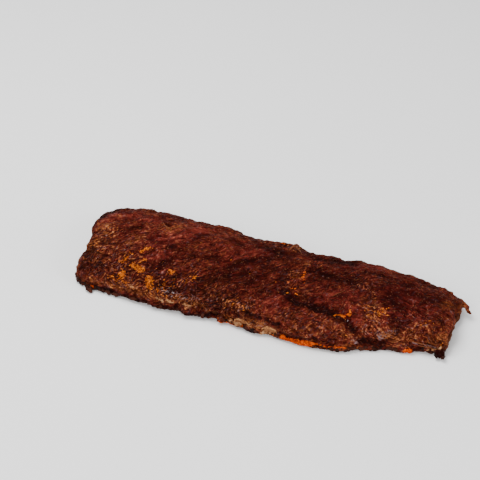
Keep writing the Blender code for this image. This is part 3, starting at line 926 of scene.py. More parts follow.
MARKS[Mask.TAN] = (
    Mark("tan crust on upper left", ((106, 226), (111, 231)), 8, 0.5),
    Mark("tan rise by left muscle", ((132, 241), (145, 237)), 5.5, 0.62),
    Mark("strand by triangle", ((162.5, 224), (170, 229), (180, 226)), 1.7, 0.75),
    Mark("light red muscle", ((166, 230.5), (178, 231.5), (187, 228)), 8.5, 0.9),
    Mark("tan left end", ((90, 244), (84, 262)), 7, 0.45),
    Mark("left shoulder", ((92, 280), (110, 285), (130, 290)), 3.8, 0.7),
    Mark("front shoulder", ((140, 292), (165, 296.5), (190, 300.5)), 4, 0.85),
    Mark("light bands in middle", ((196, 296), (224, 287)), 5, 0.4),
    Mark("crust over lip", ((222, 300), (244, 310)), 6, 0.55),
    Mark("ledge of bare bones", ((228, 318), (256, 325), (276, 332)), 4.6, 0.75),
    Mark("light crust under groove", ((296, 320), (314, 326), (332, 324)), 7, 0.44),
    Mark("bump at back edge", ((294, 246.5), (299, 248.5)), 3.6, 0.35),
    Mark("fibres by orange ones", ((294, 273), (310, 262)), 5.2, 0.38),
    Mark("yellowish crust", ((369, 313), (376, 311), (384, 324)), 7.6, 0.42),
    Mark("light crust at right", ((414, 328), (434, 320)), 8, 0.46),
    Mark("right front shoulder", ((396, 336), (430, 344)), 4.6, 0.55),
    # Tan crust with painted light on the right end's face.
    Mark("painted light on right end", ((463, 307), (455, 324), (447, 343)), 7.5, 1.2),
    Mark("shoulder under lower lace", ((120, 284), (134, 290)), 5.2, 0.85),
    Mark("light crust past groove", ((343, 331), (352, 341)), 5.5, 0.46),
    Mark("light patch on right shoulder", ((384, 336), (396, 338.5)), 4.5, 1.1),
    Mark("crust by covered bone", ((190, 303), (200, 304), (206, 308)), 3.4, 1.25),
    # Tan crust with painted light along the right end's top rim.
    Mark("painted light on right end's rim", ((443, 305), (460, 309)), 4.5, 1.15),
    Mark("tan fibres on long muscle", ((118, 216.5), (136, 218)), 4.5, 0.62),
    Mark("patch over second shade", ((236, 263), (243, 261.5)), 4.6, 0.95),
    Mark("crust over lip, right half", ((250, 319.5), (262, 324)), 3, 0.6),
    Mark("left end under notch", ((90, 246), (98, 262)), 5, 0.45),
    Mark("front corner at right", ((432, 342), (444, 338)), 4.5, 0.95),
    Mark("foot of right half", ((341, 348.5), (352, 346.5), (360, 347)), 2.8, 0.8),
    Mark("fibres at back edge", ((228, 236), (240, 239)), 5, 0.42),
    Mark("patch beside long shade", ((205, 284), (212, 282)), 4.2, 0.45),
    Mark("tan field at left", ((104, 240), (113, 244)), 6, 0.4),
    Mark("crust over strip", ((288, 331), (296, 334)), 3.4, 0.55),
    Mark("fibres past upper right", ((362, 299), (372, 300)), 4.4, 0.45),
    Mark("brown crust at back middle", ((266, 255), (282, 261)), 7, 0.32),
    Mark("crust by groove's end", ((325, 325), (333, 325)), 4.2, 0.42),
)
# Glints and wet gloss: each raises the clear coat, and blends in the sheen colour as a painted highlight.
MARKS[Mask.SHINE] = (
    Mark("moist left end", ((86, 262), (96, 274)), 10, 0.24),
    Mark("moist shoulder", ((120, 284), (150, 290), (196, 299)), 6, 0.17),
    Mark("moist middle", ((200, 300), (222, 302)), 6, 0.24),
    Mark("moist right shoulder", ((360, 332), (396, 336)), 7, 0.24),
    Mark("glint on left shoulder", ((153, 285.5), (165, 290.5)), 3.2, 0.2),
    Mark("glint beside it", ((169, 293), (180, 296), (190, 299)), 4.2, 0.26),
    Mark("glint over lip", ((246, 307), (249, 308)), 2.6, 0.46),
    Mark("wet strokes at right", ((380, 337.5), (391, 332)), 3.6, 0.42),
    Mark("glint on right side", ((355.7, 342.8),), 3, 0.75),
    Mark("upper right glint", ((323, 276.3),), 2, 0.8),
    Mark("glint beyond it", ((353, 284),), 1.8, 0.7),
    Mark("glint in groove", ((348, 321), (350, 326)), 1.4, 0.52),
    Mark("line along right shoulder", ((412, 342.5), (436, 347)), 1.4, 0.66),
    Mark("specks in lower lace", ((112, 276), (118, 282)), 3.6, 0.36),
    Mark("specks on purple shade", ((140, 262), (156, 270)), 6, 0.2),
)
MARKS[Mask.PALE] = (
    Mark("gristle at left", ((157, 298), (163, 300.8)), 1.6, 0.95),
    Mark("gristle dot", ((131.5, 286),), 1.8, 0.46),
    Mark("gristle at right", ((184, 303.6), (189.5, 306.2)), 2, 1),
    Mark("gristle between them", ((167.5, 300.3), (172.5, 302.3)), 1.7, 1),
    Mark("gristle on left shoulder", ((126, 285), (134, 288.5)), 3, 0.4),
    Mark("sawn line at corner", ((427, 349.4), (434, 349.2), (440, 348)), 1, 0.95),
    Mark("pale corner", ((441, 346.6),), 1.1, 0.75),
    Mark("skin left of first bare bone", ((230.5, 320.4), (236, 322.2)), 1.4, 0.95),
    Mark("skin left of second bare bone", ((260, 330), (264, 331.4)), 1.3, 0.9),
    Mark("lower rim of first bare bone", ((236, 323.8), (243, 325.4)), 1.3, 0.85),
    Mark("lower part of second bare bone", ((263, 331.6), (270, 334.6)), 1.4, 0.9),
    Mark("right tip of first bare bone", ((246.5, 322.6), (249.5, 323.4)), 1.2, 0.9),
)
MARKS[Mask.LONG_GRAIN] = (
    Mark("long muscle", ((104, 218), (150, 215), (210, 231)), 9.5, 1.1),
    Mark("back edge", ((230, 240), (300, 256)), 8, 0.8),
    Mark("right back edge", ((350, 266), (440, 296)), 11, 0.9),
    Mark("left front shoulder", ((85, 280), (150, 296)), 6, 0.8),
    Mark("right front shoulder", ((370, 338), (440, 347)), 8, 1.1),
    Mark("band under groove", ((262, 316), (350, 336)), 8, 0.9),
    Mark("right end", ((372, 316), (400, 306), (438, 324)), 22, 1),
)
MARKS[Mask.CRUMBLY] = (
    Mark("left end", ((96, 238), (100, 262), (124, 268)), 18, 0.55),
    Mark("field of melted fat", ((126, 258), (156, 276)), 14, 0.5),
    Mark("left shoulder", ((110, 282), (165, 294), (215, 305)), 8, 0.6),
    Mark("middle left", ((165, 284), (196, 276)), 9, 0.6),
    Mark("crust over lip", ((222, 300), (246, 308)), 8, 0.9),
    Mark("ledge of bare bones", ((226, 317), (276, 331)), 7, 0.6),
    Mark("under groove", ((285, 320), (330, 332)), 11, 0.28),
    Mark("beside dark hollow", ((285, 285), (305, 268)), 8, 0.36),
    Mark("upper right", ((355, 285), (372, 296)), 9, 0.5),
    Mark("yellow field", ((358, 308), (392, 320)), 12, 0.45),
    Mark("right end", ((414, 326), (445, 318), (445, 338)), 13, 0.36),
    Mark("bump at back edge", ((288, 246), (300, 249.5)), 5, 0.6),
)
MARKS[Mask.WORN] = (
    Mark("notch in left end", ((85.5, 249.5), (91, 249.5)), 3.2, 1.38),
    Mark("right end, upper part", ((459.5, 313), (459, 319)), 6.2, 1.38),
    Mark("square corner at left", ((99.5, 222),), 7, -0.75),
    Mark("right end, lower part", ((457, 321), (453, 331), (450, 338)), 5, 1.22),
    Mark("foot of left half", ((184, 309), (198, 311.5), (222, 318)), 3.6, -0.95),
    Mark("foot of middle", ((240, 324), (255, 328), (272, 332)), 3.2, -0.85),
    Mark("foot of right half", ((326, 347), (346, 348)), 3, -0.5),
    Mark("drop at foot", ((402, 347.5), (410, 348)), 3.6, -1),
    Mark("right front tag", ((438.5, 355), (441, 353.5)), 3.6, -0.85),
    Mark("gap beside flap", ((316, 348),), 2, 1.1),
    Mark("step before upper right tag", ((465.3, 302.8),), 1.6, 0.38),
    Mark("left of right front tag", ((433.5, 355.5),), 2.2, 0.6),
    Mark("lip over bare bones", ((247, 313), (266, 320.2), (279, 324.5)), 1.3, 0.2),
)


# Meshes


def linked(name: str, bm: bmesh.types.BMesh, finish: bpy.types.Material) -> bpy.types.Object:
    """Makes an object from a bmesh, which is then freed.

    Args:
        name: The object's name.
        bm: Its shape.
        finish: Its material.

    Returns:
        The object.
    """
    mesh = bpy.data.meshes.new(name)
    bm.to_mesh(mesh)
    bm.free()
    mesh.materials.append(finish)
    mesh.shade_smooth()
    obj = bpy.data.objects.new(name, mesh)
    bpy.context.scene.collection.objects.link(obj)
    return obj


def poured(part: bmesh.types.BMesh, into: bmesh.types.BMesh) -> None:
    """Adds one bmesh to another, and frees it.

    Args:
        part: The one to add.
        into: The other.
    """
    mesh = bpy.data.meshes.new("part")
    part.to_mesh(mesh)
    part.free()
    into.from_mesh(mesh)
    bpy.data.meshes.remove(mesh)


def baked(obj: bpy.types.Object) -> bpy.types.Object:
    """Applies an object's modifiers to its mesh.

    Args:
        obj: The object.

    Returns:
        The same object.
    """
    graph = bpy.context.evaluated_depsgraph_get()
    mesh = bpy.data.meshes.new_from_object(obj.evaluated_get(graph))
    obj.modifiers.clear()
    obj.data = mesh
    return obj


def settled(obj: bpy.types.Object) -> bpy.types.Object:
    """Puts a finished piece on the rack's body and logs how many triangles it has.

    Args:
        obj: The piece.

    Returns:
        The piece.
    """
    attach(obj, BODY)
    faces = sum(len(face.vertices) - 2 for face in obj.data.polygons)
    LOG.info("%s: %d triangles", obj.name, faces)
    return obj


def smooth_step(low: float, high: float, value: np.ndarray) -> np.ndarray:
    """A smooth step from 0 at low to 1 at high."""
    share = np.clip((value - low) / (high - low), 0.0, 1.0)
    return share * share * (3 - 2 * share)


def points_of(mesh: bpy.types.Mesh, kind: str = "co") -> np.ndarray:
    """The vertices' places, or their normals.

    Args:
        mesh: The mesh.
        kind: Either co or normal.

    Returns:
        One row for each vertex.
    """
    found = np.empty(len(mesh.vertices) * 3, np.float32)
    mesh.vertices.foreach_get(kind, found)
    return found.reshape(-1, 3).astype(float)


def surface_of(mesh: bpy.types.Mesh) -> BVHTree:
    """A mesh's faces, for rays and nearest places."""
    corners = [vert.co for vert in mesh.vertices]
    return BVHTree.FromPolygons(corners, [face.vertices[:] for face in mesh.polygons])


def values_of(mesh: bpy.types.Mesh, mask: Mask) -> np.ndarray:
    """A mask's value at each vertex of the slab's mesh.

    Args:
        mesh: The mesh.
        mask: The mask.

    Returns:
        The values.
    """
    found = np.empty(len(mesh.vertices), np.float32)
    mesh.attributes[mask.value].data.foreach_get("value", found)
    return found


def keep_in_box(verts: Iterable) -> None:
    """Moves each vertex that is outside the solids' box onto its side."""
    low, high = CAD_BOX
    for vert in verts:
        vert.co = Vector(max(low[i], min(high[i], vert.co[i])) for i in range(3))


@dataclass
class Slab:
    """The slab of meat with its bark, which stands for the meat's solid."""

    view: PhotoView
    finish: bpy.types.Material
    voxel: float = 0.00092
    plug_growth: float = 1.14
    plug_recess: float = 0.0045
    plug_cover: float = 0.0010
    soften: float = 0.5
    soften_steps: int = 5
    under_share: float = 0.62
    under_weight: float = 8.0
    crag_depth: float = 0.0008
    swell: float = 0.00035
    foot_swell: float = 0.0011
    foot_height: float = 0.007
    fibre_depth: float = 0.00042
    pit_depth: float = 0.00121
    pit_start: float = 0.05
    char_and_shade_depth: float = 0.0014
    char_and_shade_ripple: float = 0.45
    side_relief: float = 0.6
    edge_depth: float = 0.0013
    worn_depth: float = 0.0036
    fine_depth: float = 0.00032
    fat_rise: float = 0.00045
    crag_scale: Triple = (140.0, 140.0, 140.0)
    fine_scale: Triple = (330.0, 330.0, 330.0)
    long_stretch: Triple = (45.0, 330.0, 330.0)
    seam_stretch: Triple = (70.0, 330.0, 330.0)
    ledge_stretch: Triple = (120.0, 160.0, 420.0)
    under_lean: Span = (0.30, 0.75)
    side_lean: Span = (0.25, 0.70)
    front_lean: Span = (0.2, 0.7)
    back_lean: Span = (0.35, 0.85)
    right_lean: Span = (0.30, 0.60)
    most_mask: float = 1.4
    most_noise: float = 1.2
    roughness: float = 0.75
    lacunarity: float = 2.1
    hidden_share: float = 0.9
    back_shade: float = 0.75
    margin: float = 0.0012

    def build(self) -> bpy.types.Object:
        """Makes the slab.

        Returns:
            The slab.
        """
        slab = self._closed_copy()
        co, normal = points_of(slab.data), points_of(slab.data, "normal")
        masks = self._masks(slab.data, co, normal)
        relief = self._relief(co, normal, masks)
        # The relief's height, which the bark's colour uses for painted light on ridges and painted shade in
        # hollows.
        masks[Mask.RISE] = np.clip(relief / self.crag_depth, -1.0, 1.0)
        moved = self._kept_inside(co + normal * relief[:, None])
        slab.data.vertices.foreach_set("co", moved.astype(np.float32).ravel())
        for mask, values in masks.items():
            layer = slab.data.attributes.new(mask.value, "FLOAT", "POINT")
            layer.data.foreach_set("value", values.astype(np.float32))
        self._thin_underside(slab, masks[Mask.UNDER])
        slab.data.shade_smooth()
        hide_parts(MEAT_NODE)
        return settled(slab)

    def _kept_inside(self, co: np.ndarray) -> np.ndarray:
        """Eases places back from the solids' box, so that its sides cut nothing flat.

        Args:
            co: The places.

        Returns:
            The new places. The foot isn't eased, so that it stays where the solid stands.
        """
        low, high = (np.array(corner) for corner in CAD_BOX)
        margin = self.margin
        past = np.maximum(co - (high - margin), 0.0)
        co = np.where(past > 0, high - margin * np.exp(-past / margin), co)
        past = np.maximum(low + margin - co, 0.0)
        eased = np.where(past > 0, low + margin * np.exp(-past / margin), co)
        eased[:, 2] = np.where(past[:, 2] > 0, co[:, 2], eased[:, 2])
        return np.clip(eased, low, high)

    def _closed_copy(self) -> bpy.types.Object:
        """Makes an even, softened copy of the solid.

        Returns:
            The copy, its tunnels filled but for a socket at each bone's end that shows.
        """
        bm = bmesh.new()
        bm.from_mesh(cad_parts[MEAT_NODE].data)
        for name in BONE_NODES:
            self._add_plug(bm, name)
        bmesh.ops.remove_doubles(bm, verts=bm.verts, dist=WELD)
        slab = linked("slab_bark", bm, self.finish)
        even = slab.modifiers.new("even", "REMESH")
        even.mode = "VOXEL"
        even.voxel_size = self.voxel
        soft = slab.modifiers.new("soft", "SMOOTH")
        soft.factor = self.soften
        soft.iterations = self.soften_steps
        return baked(slab)

    def _add_plug(self, bm: bmesh.types.BMesh, name: str) -> None:
        """Adds a copy of a bone that fills its tunnel, short of the back and of a front end that shows.

        Args:
            bm: The copy of the slab's solid.
            name: The bone's node.
        """
        plug = bmesh.new()
        plug.from_mesh(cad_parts[name].data)
        low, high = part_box(name)
        front = -self.plug_cover if name not in FRONT_ENDS else self.plug_recess
        length = high.y - low.y
        shorter = (length - front - self.plug_recess) / length
        grow = Matrix.Diagonal((self.plug_growth, shorter, self.plug_growth, 1.0))
        middle = (low + high) / 2
        bmesh.ops.transform(plug, matrix=grow, space=Matrix.Translation(-middle), verts=plug.verts)
        bmesh.ops.translate(plug, verts=plug.verts, vec=(0.0, (front - self.plug_recess) / 2, 0.0))
        poured(plug, bm)

    def _masks(self, mesh: bpy.types.Mesh, co: np.ndarray, normal: np.ndarray) -> dict[Mask, np.ndarray]:
        """Works out every mask at each vertex.

        Args:
            mesh: The slab's mesh.
            co: Its vertices' places.
            normal: Their normals.

        Returns:
            The values of each mask.
        """
        tree = surface_of(mesh)
        under = smooth_step(*self.under_lean, -normal[:, 2])
        masks = {mask: self._spread(tree, marks, co) * (1 - under) for mask, marks in MARKS.items()}
        # Painted shade on slopes that face back, along the far edge.
        behind = smooth_step(*self.back_lean, normal[:, 1])
        behind *= 1 - smooth_step(*self.right_lean, normal[:, 0])
        masks[Mask.CHAR_AND_SHADE] += self.back_shade * behind * (1 - under)
        masks[Mask.UNDER] = under
        masks[Mask.SIDE] = 1 - smooth_step(*self.side_lean, np.abs(normal[:, 2]))
        return masks

    def _spread(self, tree: BVHTree, marks: tuple[Mark, ...], co: np.ndarray) -> np.ndarray:
        """Sums soft patches at each vertex.

        Args:
            tree: The slab's surface.
            marks: The patches.
            co: The vertices' places.

        Returns:
            The sums, kept from going too far.
        """
        total = np.zeros(len(co))
        for mark in marks:
            places = [np.array(place) for place in self.view.path_on(tree, mark.path, mark.name)]
            if places:
                share = self._distance(places, co) / (mark.reach_mm / 1000)
                total += mark.strength * np.exp(-(share**2))
        return np.clip(total, -self.most_mask, self.most_mask)

    @staticmethod
    def _distance(path: list[np.ndarray], co: np.ndarray) -> np.ndarray:
        """The distance from each vertex to a path.

        Args:
            path: The path's corners.
            co: The vertices' places.

        Returns:
            The distances.
        """
        nearest = np.linalg.norm(co - path[0], axis=1)
        for start, end in zip(path, path[1:]):
            run = end - start
            share = np.clip((co - start) @ run / (run @ run), 0.0, 1.0)
            nearest = np.minimum(nearest, np.linalg.norm(co - start - share[:, None] * run, axis=1))
        return nearest

    def _relief(self, co: np.ndarray, normal: np.ndarray, masks: dict[Mask, np.ndarray]) -> np.ndarray:
        """How far each vertex moves along its normal.

        Args:
            co: The vertices' places.
            normal: Their normals.
            masks: The values of each mask.

        Returns:
            The moves in metres.
        """
        crag = self._sampled(co, self.crag_scale, octaves=4)
        fine = self._sampled(co, self.fine_scale, octaves=3)
        ledges = self._sampled(co, self.ledge_stretch, octaves=3)
        long_fibre = self._sampled(co, self.long_stretch, octaves=2, turn=long_grain_turn(co[:, 0]))
        seam_fibre = self._sampled(co, self.seam_stretch, octaves=2, turn=BarkFinish.seam_turn)
        fibre = seam_fibre + (long_fibre - seam_fibre) * np.clip(masks[Mask.LONG_GRAIN], 0, 1)
        top = 1 - masks[Mask.UNDER]
        side = masks[Mask.SIDE] * top
        moved = self.crag_depth * crag * top + self.swell
        front = smooth_step(*self.front_lean, -normal[:, 1])
        moved += self.foot_swell * side * front * (1 - smooth_step(0.0, self.foot_height, co[:, 2]))
        moved += self.fibre_depth * fibre * top
        moved += self.edge_depth * ledges * side
        moved += self.fine_depth * fine * top
        ripple = 1 - self.char_and_shade_ripple + self.char_and_shade_ripple * fine
        moved -= self.char_and_shade_depth * np.clip(masks[Mask.CHAR_AND_SHADE], 0, 1) * ripple * (1 - self.side_relief * side)
        pits = np.clip(-fine - self.pit_start, 0, 1)
        moved -= self.pit_depth * np.clip(masks[Mask.FAT], 0, 1) * pits
        moved += self.fat_rise * np.clip(masks[Mask.FAT] + masks[Mask.ORANGE], 0, 1)
        return moved - self.worn_depth * masks[Mask.WORN]

    def _sampled(
        self, co: np.ndarray, stretch: Triple, octaves: int, turn: "np.ndarray | float" = 0.0
    ) -> np.ndarray:
        """Fractal noise at each vertex, drawn out along a turned grain.

        Args:
            co: The vertices' places.
            stretch: The scale along the grain, across it and upwards.
            octaves: How many octaves the noise has.
            turn: The grain's direction from the rack's length in degrees.

        Returns:
            The noise, about -1 to 1.
        """
        angle = np.radians(turn)
        cos, sin = np.cos(angle), np.sin(angle)
        run = (co[:, 0] * cos + co[:, 1] * sin) * stretch[0]
        side = (co[:, 1] * cos - co[:, 0] * sin) * stretch[1]
        rise = co[:, 2] * stretch[2]
        settings = (self.roughness, self.lacunarity, octaves)
        found = [noise.fractal(Vector(row), *settings) for row in zip(run, side, rise)]
        return np.clip(np.array(found), -self.most_noise, self.most_noise)

    def _thin_underside(self, slab: bpy.types.Object, under: np.ndarray) -> None:
        """Takes faces from the smooth underside, which needs fewer.

        Args:
            slab: The slab.
            under: The mask of its underside.
        """
        group = slab.vertex_groups.new(name="under")
        hidden = np.flatnonzero(under > self.hidden_share)
        group.add([int(index) for index in hidden], 1.0, "REPLACE")
        thin = slab.modifiers.new("thin", "DECIMATE")
        thin.ratio = self.under_share
        thin.vertex_group = "under"
        thin.vertex_group_factor = self.under_weight
        baked(slab)
        slab.vertex_groups.clear()
        keep_in_box(slab.data.vertices)


@dataclass
class RibBone:
    """One rib bone with worn ends, which stands for its solid."""

    node: str
    finish: bpy.types.Material
    cuts: int = 3
    wear: float = 0.00035
    front_length: float = 0.012
    wear_scale: float = 420.0
    wear_noise: tuple[float, float, int] = (0.8, 2.0, 3)
    wear_middle: float = 0.4
    rounding: float = 0.2
    flat_angle: float = 1.0
    cap_lean: float = 0.6
    marrow_inset: float = 0.30
    marrow_rim: float = 0.0003
    marrow_depth: float = 0.0007
    lower_rim: float = 4.5
    upper_rim: float = 5.0
    upper_bare: float = 0.3

    def build(self) -> bpy.types.Object:
        """Makes the bone.

        Returns:
            The bone.
        """
        bm = bmesh.new()
        bm.from_mesh(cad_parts[self.node].data)
        bmesh.ops.remove_doubles(bm, verts=bm.verts, dist=WELD)
        flat = math.radians(self.flat_angle)
        bmesh.ops.dissolve_limit(bm, angle_limit=flat, verts=bm.verts, edges=bm.edges)
        self._sink_marrow(bm)
        bmesh.ops.subdivide_edges(
            bm, edges=bm.edges, cuts=self.cuts, use_grid_fill=True, smooth=self.rounding
        )
        self._bare_front(bm)
        for vert in bm.verts:
            rough = noise.fractal(vert.co * self.wear_scale, *self.wear_noise)
            vert.co += vert.normal * (self.wear * (rough - self.wear_middle))
        bmesh.ops.triangulate(bm, faces=bm.faces)
        bone = linked(self.node + "_worn", bm, self.finish)
        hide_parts(self.node)
        return settled(bone)

    def _sink_marrow(self, bm: bmesh.types.BMesh) -> None:
        """Insets the marrow into both sawn ends.

        Args:
            bm: The bone.
        """
        marrow = bm.verts.layers.float.new("marrow")
        for cap in [face for face in bm.faces if abs(face.normal.y) > self.cap_lean]:
            width = min(edge.calc_length() for edge in cap.edges)
            bmesh.ops.inset_individual(bm, faces=[cap], thickness=width * self.marrow_inset, depth=0.0)
            bmesh.ops.inset_individual(bm, faces=[cap], thickness=self.marrow_rim, depth=-self.marrow_depth)
            for vert in cap.verts:
                vert[marrow] = 1.0

    def _bare_front(self, bm: bmesh.types.BMesh) -> None:
        """Marks the front end as bare bone where the photograph shows it, but for crusted rims.

        Args:
            bm: The bone.
        """
        bare = bm.verts.layers.float.new("bare")
        if FRONT_ENDS.get(self.node, BoneEnd.COVERED) is not BoneEnd.BARE:
            return
        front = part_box(self.node)[0].y + self.front_length
        end = [vert for vert in bm.verts if vert.co.y < front]
        foot = min(vert.co.z for vert in end)
        crown = max(vert.co.z for vert in end)
        for vert in end:
            height = (vert.co.z - foot) / (crown - foot)
            upper = self.upper_bare + (1 - height) * self.upper_rim
            vert[bare] = min(1.0, height * self.lower_rim, upper)


@dataclass
class Scatter:
    """Small loose pieces of one kind, on top of the slab or along the front of its foot.

    Where foot is given, it is the height below which they lie.
    """

    name: str
    finish: FlakeFinish
    seed: int
    count: int
    size: Span
    flatness: float
    foot: float | None = None
    sink: float = 0.35
    least_up: float = 0.15
    least_front: float = 0.2
    most_down: float = 0.6
    most_soft: float = 0.25
    drawn_out: Span = (0.8, 1.7)
    unevenness: Span = (0.72, 1.12)

    def build(self, slab: bpy.types.Object) -> bpy.types.Object:
        """Makes the pieces as one mesh.

        Args:
            slab: The slab that they lie on.

        Returns:
            The joined pieces.
        """
        draw = random.Random(self.seed)
        co, normal = points_of(slab.data), points_of(slab.data, "normal")
        places = [int(index) for index in np.flatnonzero(self._allowed(slab.data, co, normal))]
        chosen = draw.sample(places, min(self.count, len(places)))
        bm = bmesh.new()
        tone = bm.verts.layers.float.new("tone")
        for index in chosen:
            size = draw.uniform(*self.size)
            self._add(bm, tone, Vector(co[index]), Vector(normal[index]), size, draw)
        keep_in_box(bm.verts)
        return settled(linked(self.name, bm, self.finish.build()))

    def _allowed(self, mesh: bpy.types.Mesh, co: np.ndarray, normal: np.ndarray) -> np.ndarray:
        """Finds the vertices on which a piece may lie.

        Args:
            mesh: The slab's mesh.
            co: Its vertices' places.
            normal: Their normals.

        Returns:
            True at each such vertex.
        """
        if self.foot is None:
            allowed = normal[:, 2] > self.least_up
        else:
            front = normal[:, 1] < -self.least_front
            allowed = (co[:, 2] < self.foot) & (normal[:, 2] > -self.most_down) & front
        return allowed & (values_of(mesh, Mask.ORANGE) < self.most_soft)

    def _add(
        self,
        bm: bmesh.types.BMesh,
        tone: bmesh.types.BMLayerItem,
        at: Vector,
        up: Vector,
        size: float,
        draw: random.Random,
    ) -> None:
        """Adds one rough pebble, flattened along the surface's normal and partly sunk.

        Args:
            bm: The joined pieces.
            tone: Their layer of tones.
            at: Its place on the slab.
            up: The slab's normal there.
            size: Its radius.
            draw: The random numbers.
        """
        made = bmesh.ops.create_icosphere(bm, subdivisions=1, radius=1.0)["verts"]
        shade = draw.random()
        long_side = draw.uniform(*self.drawn_out)
        turn = Matrix.Rotation(draw.uniform(0, math.tau), 3, "Z")
        tilt = up.to_track_quat("Z", "Y").to_matrix()
        for vert in made:
            shape = vert.co * draw.uniform(*self.unevenness)
            shape = Vector((shape.x * long_side, shape.y, shape.z * self.flatness)) * size
            vert.co = at + tilt @ (turn @ shape) - up * size * self.flatness * self.sink
            vert[tone] = shade


@dataclass
class FatBeads(Scatter):
    """Beads that lie deep in melted fat."""

    sink: float = 0.75
    least_fat: float = 0.55

    def _allowed(self, mesh: bpy.types.Mesh, co: np.ndarray, normal: np.ndarray) -> np.ndarray:
        """Finds the vertices on which a bead may lie.

        Args:
            mesh: The slab's mesh.
            co: Its vertices' places.
            normal: Their normals.

        Returns:
            True at each such vertex.
        """
        return super()._allowed(mesh, co, normal) & (values_of(mesh, Mask.FAT) > self.least_fat)


@dataclass(frozen=True)
class Strand:
    """One strand of meat that the photograph shows, along a path of pixels.

    Its ends lie on the slab, and its middle rises over it. Its measures are in millimetres.
    """

    name: str
    path: tuple[Pixel, ...]
    radius_mm: float
    shade: float
    rise_mm: float = 0.3


STRANDS: tuple[Strand, ...] = (
    Strand("left of small triangle", ((163, 222.5), (165.5, 226.5), (169.5, 229.5)), 0.45, 0.65),
    Strand("right of small triangle", ((169.5, 229.5), (175, 228), (181, 226.5)), 0.4, 0.6),
    Strand("curl at the back edge", ((291, 249.5), (296, 248.6), (301, 252)), 0.55, 0.7, 4.6),
    Strand("second curl beside it", ((289, 250.5), (294, 248), (299, 250.5)), 0.55, 0.8, 3),
    Strand("third curl beside it", ((295, 249), (299, 251.5), (302, 255)), 0.5, 0.6, 1.8),
    Strand("first wet stroke", ((380.5, 338.5), (384.5, 335.5), (388.5, 333.5)), 0.42, 1),
    Strand("second wet stroke", ((383.5, 339), (388, 336), (392, 333)), 0.4, 1),
    Strand("third wet stroke", ((379, 335.5), (383.5, 333)), 0.38, 0.95),
    Strand("on the right shoulder", ((410, 341.5), (420, 343.5), (430, 346.5)), 0.42, 0.75),
    Strand("under that one", ((418, 345.5), (428, 347.5), (436, 349)), 0.38, 0.65),
    Strand("ring of the dark hollow", ((284.5, 288), (289, 286.5), (292.5, 290)), 0.4, 0.5),
    Strand("in the yellow crust", ((366, 308), (376, 306), (386, 302.5)), 0.36, 0.6),
    Strand("on the pinkish muscle", ((330, 297.5), (340, 293), (350, 288.5)), 0.34, 0.45),
    Strand("tuft at the upper left", ((147.5, 212), (153.5, 211)), 0.5, 0.4, 2.6),
    Strand("spike at the back edge", ((333, 260.5), (337, 261.5)), 0.45, 0.2, 3),
)


